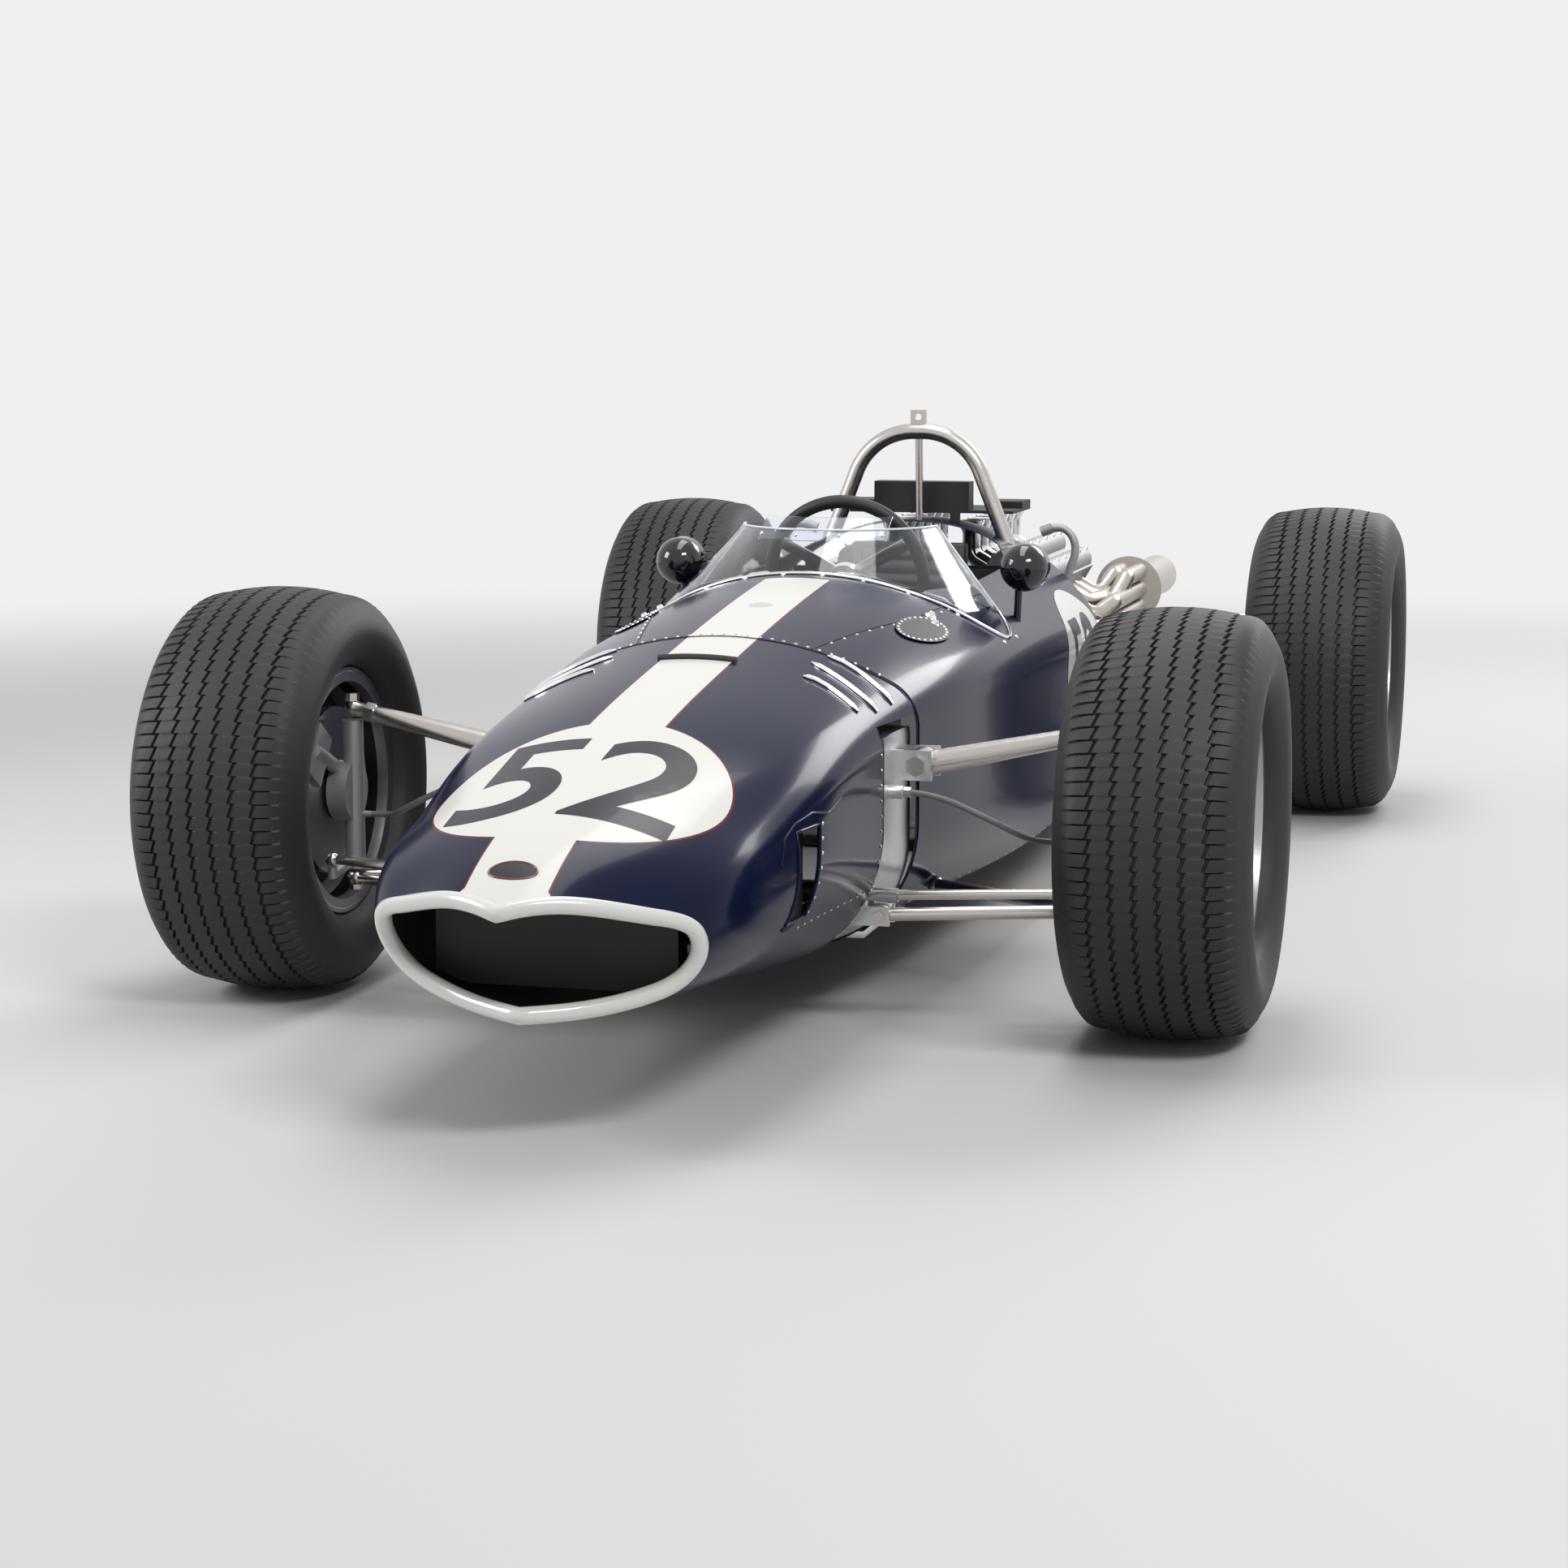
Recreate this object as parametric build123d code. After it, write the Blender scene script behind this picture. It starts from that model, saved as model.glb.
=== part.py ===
from build123d import *
import math
import os

# An open wheel single seater racing car of the middle 1960s, in millimetres.
# The nose points along -Y, the driver's left is +X and the ground is Z = 0.
# The origin is on the ground, midway between the nose tip and the exhaust tips.

# Overall layout
overall_length = 4260.0
nose_overhang = 1050.0  # nose tip to front axle
wheelbase = 2451.0
front_track = 1508.0
rear_track = 1508.0
front_axle_y = nose_overhang - overall_length / 2
tail_station = overall_length - nose_overhang  # stations are measured back from the front axle
running_gap = 0.3  # between pieces that seat on each other
high_above_all = 1000.0
wide_beyond_body = 500.0

# Tyres and rims
front_tyre_radius = 339.0
front_tyre_width = 300.0
rear_tyre_radius = 346.0
rear_tyre_width = 318.0
tyre_tread_share = 0.62  # of the half width that is tread, before the shoulder turns down
tyre_tread_drop = 11.0
tyre_shoulder_x = 0.93  # where the shoulder meets the sidewall, as a share of the half width
tyre_shoulder_drop = 44.0
bead_radius = 197.0
bead_height = 11.0
rim_flange_radius = 206.0
rim_flange_thickness = 6.0
rim_barrel_radius = 190.0
rim_wall = 7.0
front_rim_width = 226.0
rear_rim_width = 262.0
rim_web_thickness = 14.0
rim_window_radius = 27.0
rim_window_circle = 118.0
rim_windows = 8
wheel_nut_radius = 40.0

# Brakes and hubs
disc_radius = 140.0
disc_thickness = 12.0
disc_offset = 84.0  # inboard of the wheel's centre plane
hub_radius = 46.0
spindle_radius = 20.0
caliper_inner_radius = 98.0
caliper_outer_radius = 157.0
caliper_half_width = 27.0
caliper_half_height = 45.0
caliper_angle = 35.0
hose_radius = 5.0
hose_bend = 18.0
hose_union_x = 332.0
hose_union_station = -76.0
hose_union_z = 383.0
hose_end_z = 300.0
hose_end_reach = 31.0  # from the kingpin's axis to the end of the upright's hose boss

# Body skin: cowls are thin sheet, and the tub's side boxes are as thick as the real ones
cowl_wall = 4.0
mouth_wall = 20.0
slot_station = -92.0
slot_width = 8.0
slot_half_length = 60.0
cowl_rear = 51.0
cowl_flank_rear = -128.0
cowl_flank_top = 492.0
cap_station = -973.0
cap_half_width = 34.0
cap_half_length = 19.0
duct_inner_x = 230.0
duct_front = -566.0
duct_rear = -474.0
duct_bottom = 255.0
duct_top = 392.0
tub_front = cowl_rear + running_gap
tub_rear = wheelbase - 201.0
scuttle_front = 75.0
scuttle_rear = 905.0
# Lift-off panel ahead of the driver, seen from above. Columns: station, half width
SCUTTLE = ((scuttle_front, 150.0), (430.0, 232.0), (scuttle_rear, 262.0))
deck_rear = wheelbase - 856.0  # where the high deck behind the driver ends
pontoon_top = 425.0
bay_floor = 130.0
bay_half_width = 232.0

# Outer form of the body, from nose to tail. Columns: station from the front axle, half width, top, bottom,
# crown radius across the top, shoulder radius, sill radius, belly radius
BODY = (
    (-1062.0, 172.0, 345.0, 160.0, 200.0, 66.0, 45.0, 1300.0),
    (-985.0, 184.0, 388.0, 178.0, 204.0, 98.0, 50.0, 1000.0),
    (-880.0, 236.0, 427.0, 174.0, 346.0, 62.0, 105.0, 480.0),
    (-680.0, 278.0, 481.0, 154.0, 464.0, 86.0, 145.0, 500.0),
    (-482.0, 296.0, 525.0, 142.0, 580.0, 96.0, 200.0, 1000.0),
    (-90.0, 313.0, 589.0, 96.0, 610.0, 76.0, 216.0, 1500.0),
    (285.0, 352.0, 640.0, 100.0, 600.0, 96.0, 200.0, 2200.0),
    (900.0, 372.0, 694.0, 100.0, 470.0, 110.0, 100.0, 2400.0),
    (wheelbase - 951.0, 368.0, 712.0, 100.0, 430.0, 110.0, 100.0, 2400.0),
    (wheelbase - 551.0, 346.0, 700.0, 100.0, 420.0, 110.0, 100.0, 2400.0),
    (wheelbase - 161.0, 300.0, 660.0, 104.0, 380.0, 110.0, 90.0, 2400.0),
)

# Mouth of the nose: how far it sweeps back to the sides and to the lower lip
mouth_tip_z = 353.64
mouth_sweep = 0.59
mouth_rake = 0.516

# Cockpit opening, seen from above. Columns: station, half width
COCKPIT = ((565.0, 120.0), (640.0, 196.0), (860.0, 236.0), (wheelbase - 1201.0, 238.0),
           (wheelbase - 981.0, 176.0))
cockpit_corner = 70.0
cockpit_floor = 130.0
cockpit_half_width = 242.0
cockpit_ceiling = 590.0
footwell_half_width = 205.0
footwell_top = 500.0
seat_back_station = wheelbase - 961.0
rear_bulkhead_station = wheelbase - 889.0

# Front frame inside the cowl's open flanks
frame_bottom = 142.0
frame_top = 472.0
frame_front = -122.0
frame_rail = 20.0  # thickness of its top and bottom

# Front suspension and steering, by station from the front axle
kingpin_x = 628.0
upper_ball_z = 478.0
lower_ball_z = 192.0
ball_radius = 15.0
rocker_pivot_x = 344.0
rocker_pivot_z = 420.0
rocker_boss_radius = 24.0
rocker_boss_length = 56.0
rocker_root_radius = 20.0
rocker_tip_radius = 13.0
pivot_pin_radius = 11.0
lower_leg_radius = 11.0
lower_front_x = 296.0
lower_front_station = -62.0
lower_front_z = 183.0
lower_pin_radius = 6.0
lower_rear_x = 312.0
lower_rear_station = 262.0
lower_rear_z = 176.0
clevis_thickness = 8.0
rack_station = -100.0
rack_z = 222.0
rack_radius = 11.0
rack_half_length = 330.0
rack_housing_radius = 19.0
track_rod_radius = 8.0
track_rod_ball_radius = 12.0
track_rod_end_z = 238.0
steering_arm_radius = 9.0

# Windscreen: a leaning cone of clear sheet, open at the rear
screen_wall = 4.0
screen_foot_z = 600.0
screen_top_z = 742.0
screen_foot_apex = 468.0
screen_foot_half = 291.0
screen_apex_slope = 1.53
screen_half_slope = 0.765
screen_rear = 850.0
visor_low_z = 722.0
visor_top_z = 762.0
visor_half_width = 118.0

# Driver's fittings
steering_wheel_station = 905.0
steering_wheel_z = 640.0
steering_wheel_radius = 160.0
steering_rim_radius = 13.0
column_tilt = 14.0
column_radius = 10.0
column_length = 800.0
dash_station = screen_foot_apex + 88.0
dash_thickness = 5.0
mirror_station = 925.0
mirror_x = 334.0
mirror_z = 662.0
mirror_radius = 45.0
hoop_station = wheelbase - 931.0
hoop_half_width = 190.0
hoop_top = 890.0
hoop_bend = 130.0
hoop_tube_radius = 16.0

# Engine: a narrow vee twelve, with a crank line and two tilted banks
crank_z = 262.0
vee_half_angle = 30.0
bore_spacing = 90.0
first_bore = wheelbase - 779.0
cylinders_per_bank = 6
bank_half_width = 60.0
bank_deck = 318.0
head_height = 78.0
head_half_width = 66.0
cover_height = 36.0
cover_radius = 27.0
sump_half_width = 118.0
sump_bottom = bay_floor + 12.0
engine_front = first_bore - 62.0
engine_rear = first_bore + (cylinders_per_bank - 1) * bore_spacing + 62.0
trumpet_radius = 19.0
trumpet_mouth_radius = 29.0
trumpet_port = 357.0  # along the bank, from the crank
trumpet_stub = 46.0
trumpet_top = 700.0

# Exhaust: ports on the outer faces, three levels of pipes, a collector and a long tapered tail
primary_radius = 18.5
port_along_bank = 352.0
level_base = 472.0
level_step = 40.0
inner_lane = 304.0
outer_lane = 345.0
collector_front = wheelbase - 181.0
collector_rear = wheelbase - 51.0
collector_x = 318.0
collector_z = 512.0
tail_x = 250.0
tail_z = 470.0
tail_small = 34.0
tail_large = 50.0
tail_wall = 4.0
tail_bore_share = 0.235  # of the tail is open from its tip

# Rear suspension and drive line
gearbox_half_width = 98.0
gearbox_bottom = 190.0
bell_half_width = 150.0
gearbox_top = 440.0
gearbox_rear = wheelbase + 409.0
tail_eye_radius = 8.0
tail_eye_z = 320.0
rear_upright_x = 604.0
rear_top_z = 438.0
rear_low_z = 168.0
link_radius = 11.0
lower_link_spread = 150.0  # fore and aft of the axle, at the gearbox
driveshaft_radius = 17.0
joint_radius = 40.0
damper_station = wheelbase + 81.0
damper_top_z = 520.0
spring_radius = 36.0
radius_rod_front = wheelbase - 895.0


def at(x, station, z):
    """A point given by its station from the front axle."""
    return (x, front_axle_y + station, z)


def both(shape):
    """The piece and its mirror on the other side of the car."""
    return [shape, mirror(shape, about=Plane.YZ)]


def put(name, shapes):
    """Writes one node from one solid or several."""
    if not isinstance(shapes, (list, tuple)):
        shapes = [shapes]
    solids = [s for shape in shapes for s in shape.solids()]
    node = Compound(children=solids) if len(solids) > 1 else solids[0]
    export_step(node, os.path.join("parts", name + ".step"))


def fused(*shapes):
    """One solid out of pieces that overlap."""
    whole = shapes[0]
    for shape in shapes[1:]:
        whole = whole + shape
    return whole


def rod(start, end, radius, end_radius=None):
    """A round bar between two points, tapered when it has an end radius."""
    axis = Vector(*end) - Vector(*start)
    plane = Plane(origin=start, z_dir=axis)
    if end_radius is None or end_radius == radius:
        return plane * Cylinder(radius, axis.length, align=(Align.CENTER, Align.CENTER, Align.MIN))
    return plane * Cone(radius, end_radius, axis.length, align=(Align.CENTER, Align.CENTER, Align.MIN))


def across(station, z, half, radius):
    """A round bar that lies across the car, as long to the left as to the right."""
    return rod(at(-half, station, z), at(half, station, z), radius)


def along(x, z, station, half, radius):
    """A round bar that lies fore and aft, about a station."""
    return rod(at(x, station - half, z), at(x, station + half, z), radius)


def ball(centre, radius):
    return Pos(*centre) * Sphere(radius)


def block(x0, x1, y0, y1, z0, z1):
    return Pos((x0 + x1) / 2, (y0 + y1) / 2, (z0 + z1) / 2) * Box(x1 - x0, y1 - y0, z1 - z0)


def pipe(points, radius, bends):
    """A round tube through points with a bend radius at each corner."""
    path = FilletPolyline(*points, radius=bends)
    return sweep(Plane(origin=path @ 0, z_dir=path % 0) * Circle(radius), path=path)


def body_section(row, inset=0.0):
    """A body section from tangent arcs: crown, shoulders, sides, sills and belly."""
    station, half, top, bottom, crown, shoulder, sill, belly = row
    half, top, bottom = half - inset, top - inset, bottom + inset
    crown, shoulder = crown - inset, shoulder - inset
    sill, belly = sill - inset, belly - inset
    y = front_axle_y + station
    crown_z = top - crown
    shoulder_x = half - shoulder
    shoulder_z = crown_z + math.sqrt((crown - shoulder) ** 2 - shoulder_x**2)
    belly_z = bottom + belly
    sill_x = half - sill
    sill_z = belly_z - math.sqrt((belly - sill) ** 2 - sill_x**2)

    def on_circle(cx, cz, radius, angle):
        return (cx + radius * math.cos(angle), y, cz + radius * math.sin(angle))

    up = math.atan2(shoulder_z - crown_z, shoulder_x)
    down = math.atan2(sill_z - belly_z, sill_x)
    crown_end = on_circle(0.0, crown_z, crown, up)
    shoulder_mid = on_circle(shoulder_x, shoulder_z, shoulder, up / 2)
    side_top = (half, y, shoulder_z)
    side_low = (half, y, sill_z)
    sill_mid = on_circle(sill_x, sill_z, sill, down / 2)
    belly_end = on_circle(0.0, belly_z, belly, down)

    def other(p):
        return (-p[0], p[1], p[2])

    edges = [
        ThreePointArc(other(crown_end), (0.0, y, top), crown_end),
        ThreePointArc(crown_end, shoulder_mid, side_top),
        Line(side_top, side_low),
        ThreePointArc(side_low, sill_mid, belly_end),
        ThreePointArc(belly_end, (0.0, y, bottom), other(belly_end)),
        ThreePointArc(other(belly_end), other(sill_mid), other(side_low)),
        Line(other(side_low), other(side_top)),
        ThreePointArc(other(side_top), other(shoulder_mid), other(crown_end)),
    ]
    return Face(Wire(edges))


def body_form(inset=0.0, mouth_inset=None):
    """The whole outer form, or the same form taken in by an inset that may be larger at the mouth."""
    faces = []
    for row in BODY:
        share = min(1.0, max(0.0, (row[0] + nose_overhang - 70.0) / 150.0))
        depth = inset if mouth_inset is None else mouth_inset + (inset - mouth_inset) * share
        faces.append(body_section(row, depth))
    return loft(faces)


def slab(station_from, station_to, low=0.0, high=high_above_all, half=wide_beyond_body):
    """A block of space across the car between two stations."""
    return block(-half, half, front_axle_y + station_from, front_axle_y + station_to, low, high)


def mouth_cutter():
    """The space ahead of the mouth, bounded by two planes that meet in the beak."""
    tip_y, tip_z = -nose_overhang, mouth_tip_z
    reach, ahead, low, high = 420.0, 400.0, -60.0, 620.0

    def edge(x, z):
        y = tip_y + mouth_sweep * x + mouth_rake * (tip_z - z)
        return (x, front_axle_y + y, z)

    def half_cutter():
        front_y = front_axle_y + tip_y - ahead
        faces = []
        for x in (0.0, reach):
            outline = Polyline(edge(x, low), edge(x, high), (x, front_y, high), (x, front_y, low),
                               close=True)
            faces.append(Face(Wire(outline.edges())))
        return loft(faces, ruled=True)

    right, left = both(half_cutter())
    return fused(right, left)


outer_form = body_form()
sheet_form = body_form(cowl_wall)
mouth_form = body_form(cowl_wall, mouth_wall)


def plan_prism(points, low, high):
    """A prism that stands on an outline seen from above, given on one side and mirrored."""
    outline = [at(x, s, low) for s, x in points] + [at(-x, s, low) for s, x in reversed(points)]
    face = Face(Wire(Polyline(*outline, close=True).edges()))
    return extrude(face, amount=high - low, dir=(0, 0, 1))


def cockpit_opening(low):
    """The hole that the driver climbs through, with rounded corners."""
    outline = [at(x, s, low) for s, x in COCKPIT] + [at(-x, s, low) for s, x in reversed(COCKPIT)]
    path = FilletPolyline(*outline, radius=cockpit_corner, close=True)
    return extrude(Face(Wire(path.edges())), amount=high_above_all, dir=(0, 0, 1))


def nose_cowl():
    """The nose with its mouth, side ducts, top inlet and cut away flanks."""
    skin = outer_form - mouth_form
    skin = skin & slab(-nose_overhang - 100.0, cowl_rear)
    skin = skin - mouth_cutter()
    skin = skin - slab(cowl_flank_rear, cowl_rear + 1.0, 0.0, cowl_flank_top)
    slot = slab(slot_station - slot_width, slot_station, 500.0, 700.0, slot_half_length)
    cap = extrude(Ellipse(cap_half_width, cap_half_length), amount=200.0)
    inlet = Pos(*at(0.0, cap_station, 300.0)) * cap
    skin = skin - slot - inlet
    duct = slab(duct_front, duct_rear, duct_bottom, duct_top)
    skin = skin - (duct - slab(duct_front, duct_rear, half=duct_inner_x))
    return skin


def monocoque_tub():
    """The tub: side boxes, floor and high deck, open over the legs, the driver and the engine."""
    tub = outer_form & slab(tub_front, tub_rear)
    cockpit = slab(420.0, seat_back_station, cockpit_floor, cockpit_ceiling, cockpit_half_width)
    footwell = slab(tub_front - 5.0, 430.0, cockpit_floor, footwell_top, footwell_half_width)
    engine_bay = slab(rear_bulkhead_station, tub_rear + 10.0, bay_floor, 1000.0, bay_half_width)
    over_pontoons = slab(deck_rear, tub_rear + 10.0, pontoon_top)
    scuttle = plan_prism(SCUTTLE, 480.0, 900.0)
    tub = tub - cockpit - footwell - engine_bay - over_pontoons - scuttle
    return tub - cockpit_opening(400.0)


def scuttle_cowl():
    """The lift-off panel ahead of and beside the cockpit opening."""
    skin = (outer_form - sheet_form) & slab(scuttle_front, scuttle_rear - 1.0)
    outline = [(station + shift, half - 1.0) for (station, half), shift in zip(SCUTTLE, (1.0, 0.0, -1.0))]
    edge = plan_prism(outline, 485.0, 900.0)
    return (skin & edge) - cockpit_opening(400.0)


def front_frame():
    """The bare metal frame across the front axle, with the brackets of both arms and the rack's housing."""
    frame = sheet_form & slab(frame_front, cowl_rear, frame_bottom, frame_top)
    low, high = frame_bottom + frame_rail, frame_top - frame_rail
    frame = frame - slab(frame_front - 1.0, cowl_rear + 1.0, low, high, footwell_half_width)
    frame = frame + across(rack_station, rack_z, footwell_half_width + 10.0, rack_housing_radius)
    # Columns: x, station, height, half length, radius, pin radius
    pivots = (
        (rocker_pivot_x, 0.0, rocker_pivot_z, rocker_boss_length / 2, rocker_boss_radius, pivot_pin_radius),
        (lower_front_x, lower_front_station, lower_front_z, ball_radius, ball_radius, lower_pin_radius),
    )
    for side in (-1, 1):
        for x, station, z, half, radius, pin_radius in pivots:
            inner, outer = sorted((side * (footwell_half_width + 10.0), side * (x + radius)))
            for end in (-1, 1):
                near = station + end * (half + running_gap)
                low, high = sorted((near, near + end * clevis_thickness))
                plate = block(inner, outer, front_axle_y + low, front_axle_y + high, z - radius, z + radius)
                frame = frame + plate
            reach = half + clevis_thickness + 4.0
            frame = frame + along(side * x, z, station, reach, pin_radius)
        frame = frame + rod(at(side * 280.0, hose_union_station, hose_union_z),
                            at(side * hose_union_x, hose_union_station, hose_union_z), hose_radius + 6.0)
    return frame - across(rack_station, rack_z, wide_beyond_body, rack_radius + running_gap)


def radiator():
    """The core behind the mouth, with two tubes back to the frame."""
    core = slab(-800.0, -756.0, 198.0, 384.0, 178.0) & body_form(cowl_wall + 10.0)
    for side in (-1, 1):
        core = core + rod(at(side * 150.0, -760.0, 225.0), at(side * 245.0, frame_front + 20.0, 225.0), 9.0)
    return core & slab(-nose_overhang, frame_front - running_gap)


def front_rockers():
    """The upper arms, each from the boss on its pivot pin out to the ball over the upright."""
    start = at(rocker_pivot_x + pivot_pin_radius + 1.5, 0.0, rocker_pivot_z)
    end = at(kingpin_x, 0.0, upper_ball_z)
    half = rocker_boss_length / 2
    boss = along(rocker_pivot_x, rocker_pivot_z, 0.0, half, rocker_boss_radius)
    bore = along(rocker_pivot_x, rocker_pivot_z, 0.0, 2 * half, pivot_pin_radius + running_gap)
    arm = rod(start, end, rocker_root_radius, rocker_tip_radius)
    return both(fused(boss - bore, arm, ball(end, ball_radius)))


def front_lower_arms():
    """The lower wishbones with their balls under the uprights; the rear root seats flat on the tub's side."""
    end = at(kingpin_x, 0.0, lower_ball_z)
    front_root = at(lower_front_x, lower_front_station, lower_front_z)
    rear_root = at(lower_rear_x, lower_rear_station, lower_rear_z)
    legs = [rod(root, end, lower_leg_radius) for root in (front_root, rear_root)]
    front_ball = Pos(*front_root) * Rot(90, 0, 0) * Sphere(ball_radius)
    arm = fused(*legs, ball(end, ball_radius), front_ball, ball(rear_root, ball_radius))
    bore = along(lower_front_x, lower_front_z, lower_front_station, 2 * ball_radius,
                 lower_pin_radius + running_gap)
    _, nearest, _ = outer_form.distance_to_with_closest_points(Vertex(*rear_root))
    outward = (Vector(*rear_root) - nearest).normalized()
    depth = 2 * ball_radius
    inside = Plane(origin=nearest + outward * running_gap, z_dir=outward) * Pos(0, 0, -depth / 2) * Box(
        4 * ball_radius, 4 * ball_radius, depth)
    return both(arm - bore - inside)


def steering_rack():
    """The rack bar that slides across the frame."""
    return across(rack_station, rack_z, rack_half_length, rack_radius)


def track_rods():
    """Both track rods, from the rack's ends up to the balls over the steering arms."""
    start = at(rack_half_length + running_gap, rack_station, rack_z)
    end = at(kingpin_x, rack_station, track_rod_end_z)
    bar = fused(rod(at(rack_half_length - 10.0, rack_station, rack_z), end, track_rod_radius),
                ball(end, track_rod_ball_radius))
    return both(bar - slab(2 * rack_station, 0.0, half=start[0]))


def hub_axis_plane(x, station, z):
    return Plane(origin=at(x, station, z), x_dir=(0, 1, 0), z_dir=(1, 0, 0))


def caliper(x, station, z):
    """A caliper astride the disc, ahead of the axle and above it."""
    body = Box(caliper_half_width * 2, caliper_outer_radius - caliper_inner_radius, caliper_half_height * 2)
    middle = (caliper_outer_radius + caliper_inner_radius) / 2
    slot = Box(disc_thickness + 12.0, 2 * (disc_radius + 5.5), caliper_half_height * 2 + 2.0)
    body = Pos(0, -middle, 0) * body - slot
    return Pos(*at(x, station, z)) * Rot(-caliper_angle, 0, 0) * body


def front_upright():
    """The steered upright on the +X side: kingpin post, spindle, steering arm and caliper."""
    wheel_x = front_track / 2
    disc_x = wheel_x - disc_offset
    post = rod(at(kingpin_x, 0.0, lower_ball_z + ball_radius + 0.7),
               at(kingpin_x, 0.0, upper_ball_z - ball_radius - 5.0), 17.0)
    z = front_tyre_radius
    carrier = rod(at(kingpin_x - 4.0, 0.0, z), at(disc_x - 12.0, 0.0, z), 50.0)
    spindle = rod(at(kingpin_x, 0.0, z), at(wheel_x - 10.0, 0.0, z), spindle_radius)
    arm_top = track_rod_end_z - track_rod_ball_radius - 1.0
    arm_z = arm_top - steering_arm_radius
    arm_end = at(kingpin_x, rack_station, arm_z - 3.0)
    arm = rod(at(kingpin_x, 0.0, arm_z + 8.0), arm_end, steering_arm_radius)
    arm = arm + rod(at(kingpin_x, rack_station, arm_z - 10.0), at(kingpin_x, rack_station, arm_top), 8.0)
    boss = rod(at(kingpin_x - hose_end_reach, 0.0, hose_end_z), at(kingpin_x, 0.0, hose_end_z), hose_radius)
    bridge_x = disc_x - caliper_half_width + 6.0
    bridge = rod(at(bridge_x, 0.0, z + 30.0), at(bridge_x, -118.0, z + 82.0), 12.0)
    grip = caliper(disc_x, 0.0, z)
    return fused(post, carrier, spindle, arm, boss, grip, bridge)


def brake_disc(wheel_x, station, z, bore):
    """The disc and the hub that carries the wheel, on the +X side."""
    disc_x = wheel_x - disc_offset
    inner = disc_x - disc_thickness / 2
    disc = rod(at(inner, station, z), at(inner + disc_thickness, station, z), disc_radius)
    hub = rod(at(inner, station, z), at(wheel_x + 10.0 - running_gap, station, z), hub_radius)
    hole = rod(at(disc_x - 60.0, station, z), at(wheel_x - 9.0, station, z), bore)
    return fused(disc, hub) - hole


def rim(wheel_x, station, z, width):
    """A cast rim: barrel with two flanges, a pierced web and the central nut."""
    half = width / 2
    inner = rim_barrel_radius - rim_wall
    waist = rim_barrel_radius - 14.0
    seat = bead_radius - running_gap
    flange = half - rim_flange_thickness
    web_face = 38.0
    web_back = web_face - rim_web_thickness
    section = Polyline(
        (inner, -half), (rim_flange_radius, -half), (rim_flange_radius, -flange), (seat, 3.0 - flange),
        (seat, 44.0 - half), (waist, 62.0 - half), (waist, half - 72.0), (seat, half - 44.0),
        (seat, flange - 3.0), (rim_flange_radius, flange), (rim_flange_radius, half), (inner + 6.0, half),
        (inner, half - 40.0), (inner - 14.0, half - 72.0), (hub_radius + 16.0, web_face), (0.0, web_face),
        (0.0, web_face - 28.0), (hub_radius + 8.0, web_face - 28.0), (hub_radius + 22.0, web_back),
        (inner - 16.0, half - 72.0 - rim_web_thickness), (inner - 14.0, 62.0 - half), (inner, 44.0 - half),
        close=True)
    frame = hub_axis_plane(wheel_x, station, z)
    face = Face(Wire(section.edges()))
    turned = revolve(Plane.XZ * face, Axis.Z)
    for number in range(rim_windows):
        angle = 360.0 / rim_windows * number
        window = Pos(rim_window_circle, 0, 0) * Cylinder(rim_window_radius, 2 * width)
        turned = turned - Rot(0, 0, angle) * window
    nut = Pos(0, 0, web_face - 1.0) * extrude(RegularPolygon(wheel_nut_radius, 6), amount=26.0)
    return frame * (turned + nut)


def tyre(wheel_x, station, radius, width, rim_width):
    """A plain tyre on its beads, with a gently crowned tread and large round shoulders."""
    half = width / 2
    bead_half = rim_width / 2 - rim_flange_thickness - 3.0 - running_gap
    bead_toe = bead_half - 26.0
    foot_radius = rim_flange_radius + 2.0
    foot_half = rim_width / 2 - rim_flange_thickness - running_gap
    bulge_radius = (foot_radius + radius) / 2 - 4.0
    tread_half = half * tyre_tread_share
    tread_edge = radius - tyre_tread_drop
    shoulder_half = half * tyre_shoulder_x
    shoulder_radius = radius - tyre_shoulder_drop
    turn = (radius - tyre_tread_drop - 0.3 * (tyre_shoulder_drop - tyre_tread_drop),
            tread_half + 0.64 * (shoulder_half - tread_half))

    def half_section(side):
        return [
            Line((bead_radius, side * bead_toe), (bead_radius, side * bead_half)),
            Line((bead_radius, side * bead_half), (foot_radius, side * foot_half)),
            ThreePointArc((foot_radius, side * foot_half), (bulge_radius, side * half),
                          (shoulder_radius, side * shoulder_half)),
            ThreePointArc((shoulder_radius, side * shoulder_half), (turn[0], side * turn[1]),
                          (tread_edge, side * tread_half)),
        ]

    edges = half_section(1) + half_section(-1)
    edges.append(ThreePointArc((tread_edge, tread_half), (radius, 0.0), (tread_edge, -tread_half)))
    edges.append(ThreePointArc((bead_radius, bead_toe), (radius - 30.0, 0.0), (bead_radius, -bead_toe)))
    face = Face(Wire(edges))
    return hub_axis_plane(wheel_x, station, radius) * revolve(Plane.XZ * face, Axis.Z)


def screen_arc(z, offset):
    """The screen's curve at a height, taken inward by an offset all the way round."""
    rise = z - screen_foot_z
    half = screen_foot_half - screen_half_slope * rise
    depth = screen_rear - screen_foot_apex - screen_apex_slope * rise
    radius = (half**2 + depth**2) / (2 * depth)
    centre = screen_rear - depth + radius
    radius = radius - offset
    reach = math.sqrt(radius**2 - (screen_rear - centre) ** 2)
    return ThreePointArc(at(-reach, screen_rear, z), at(0.0, centre - radius, z), at(reach, screen_rear, z))


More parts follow.
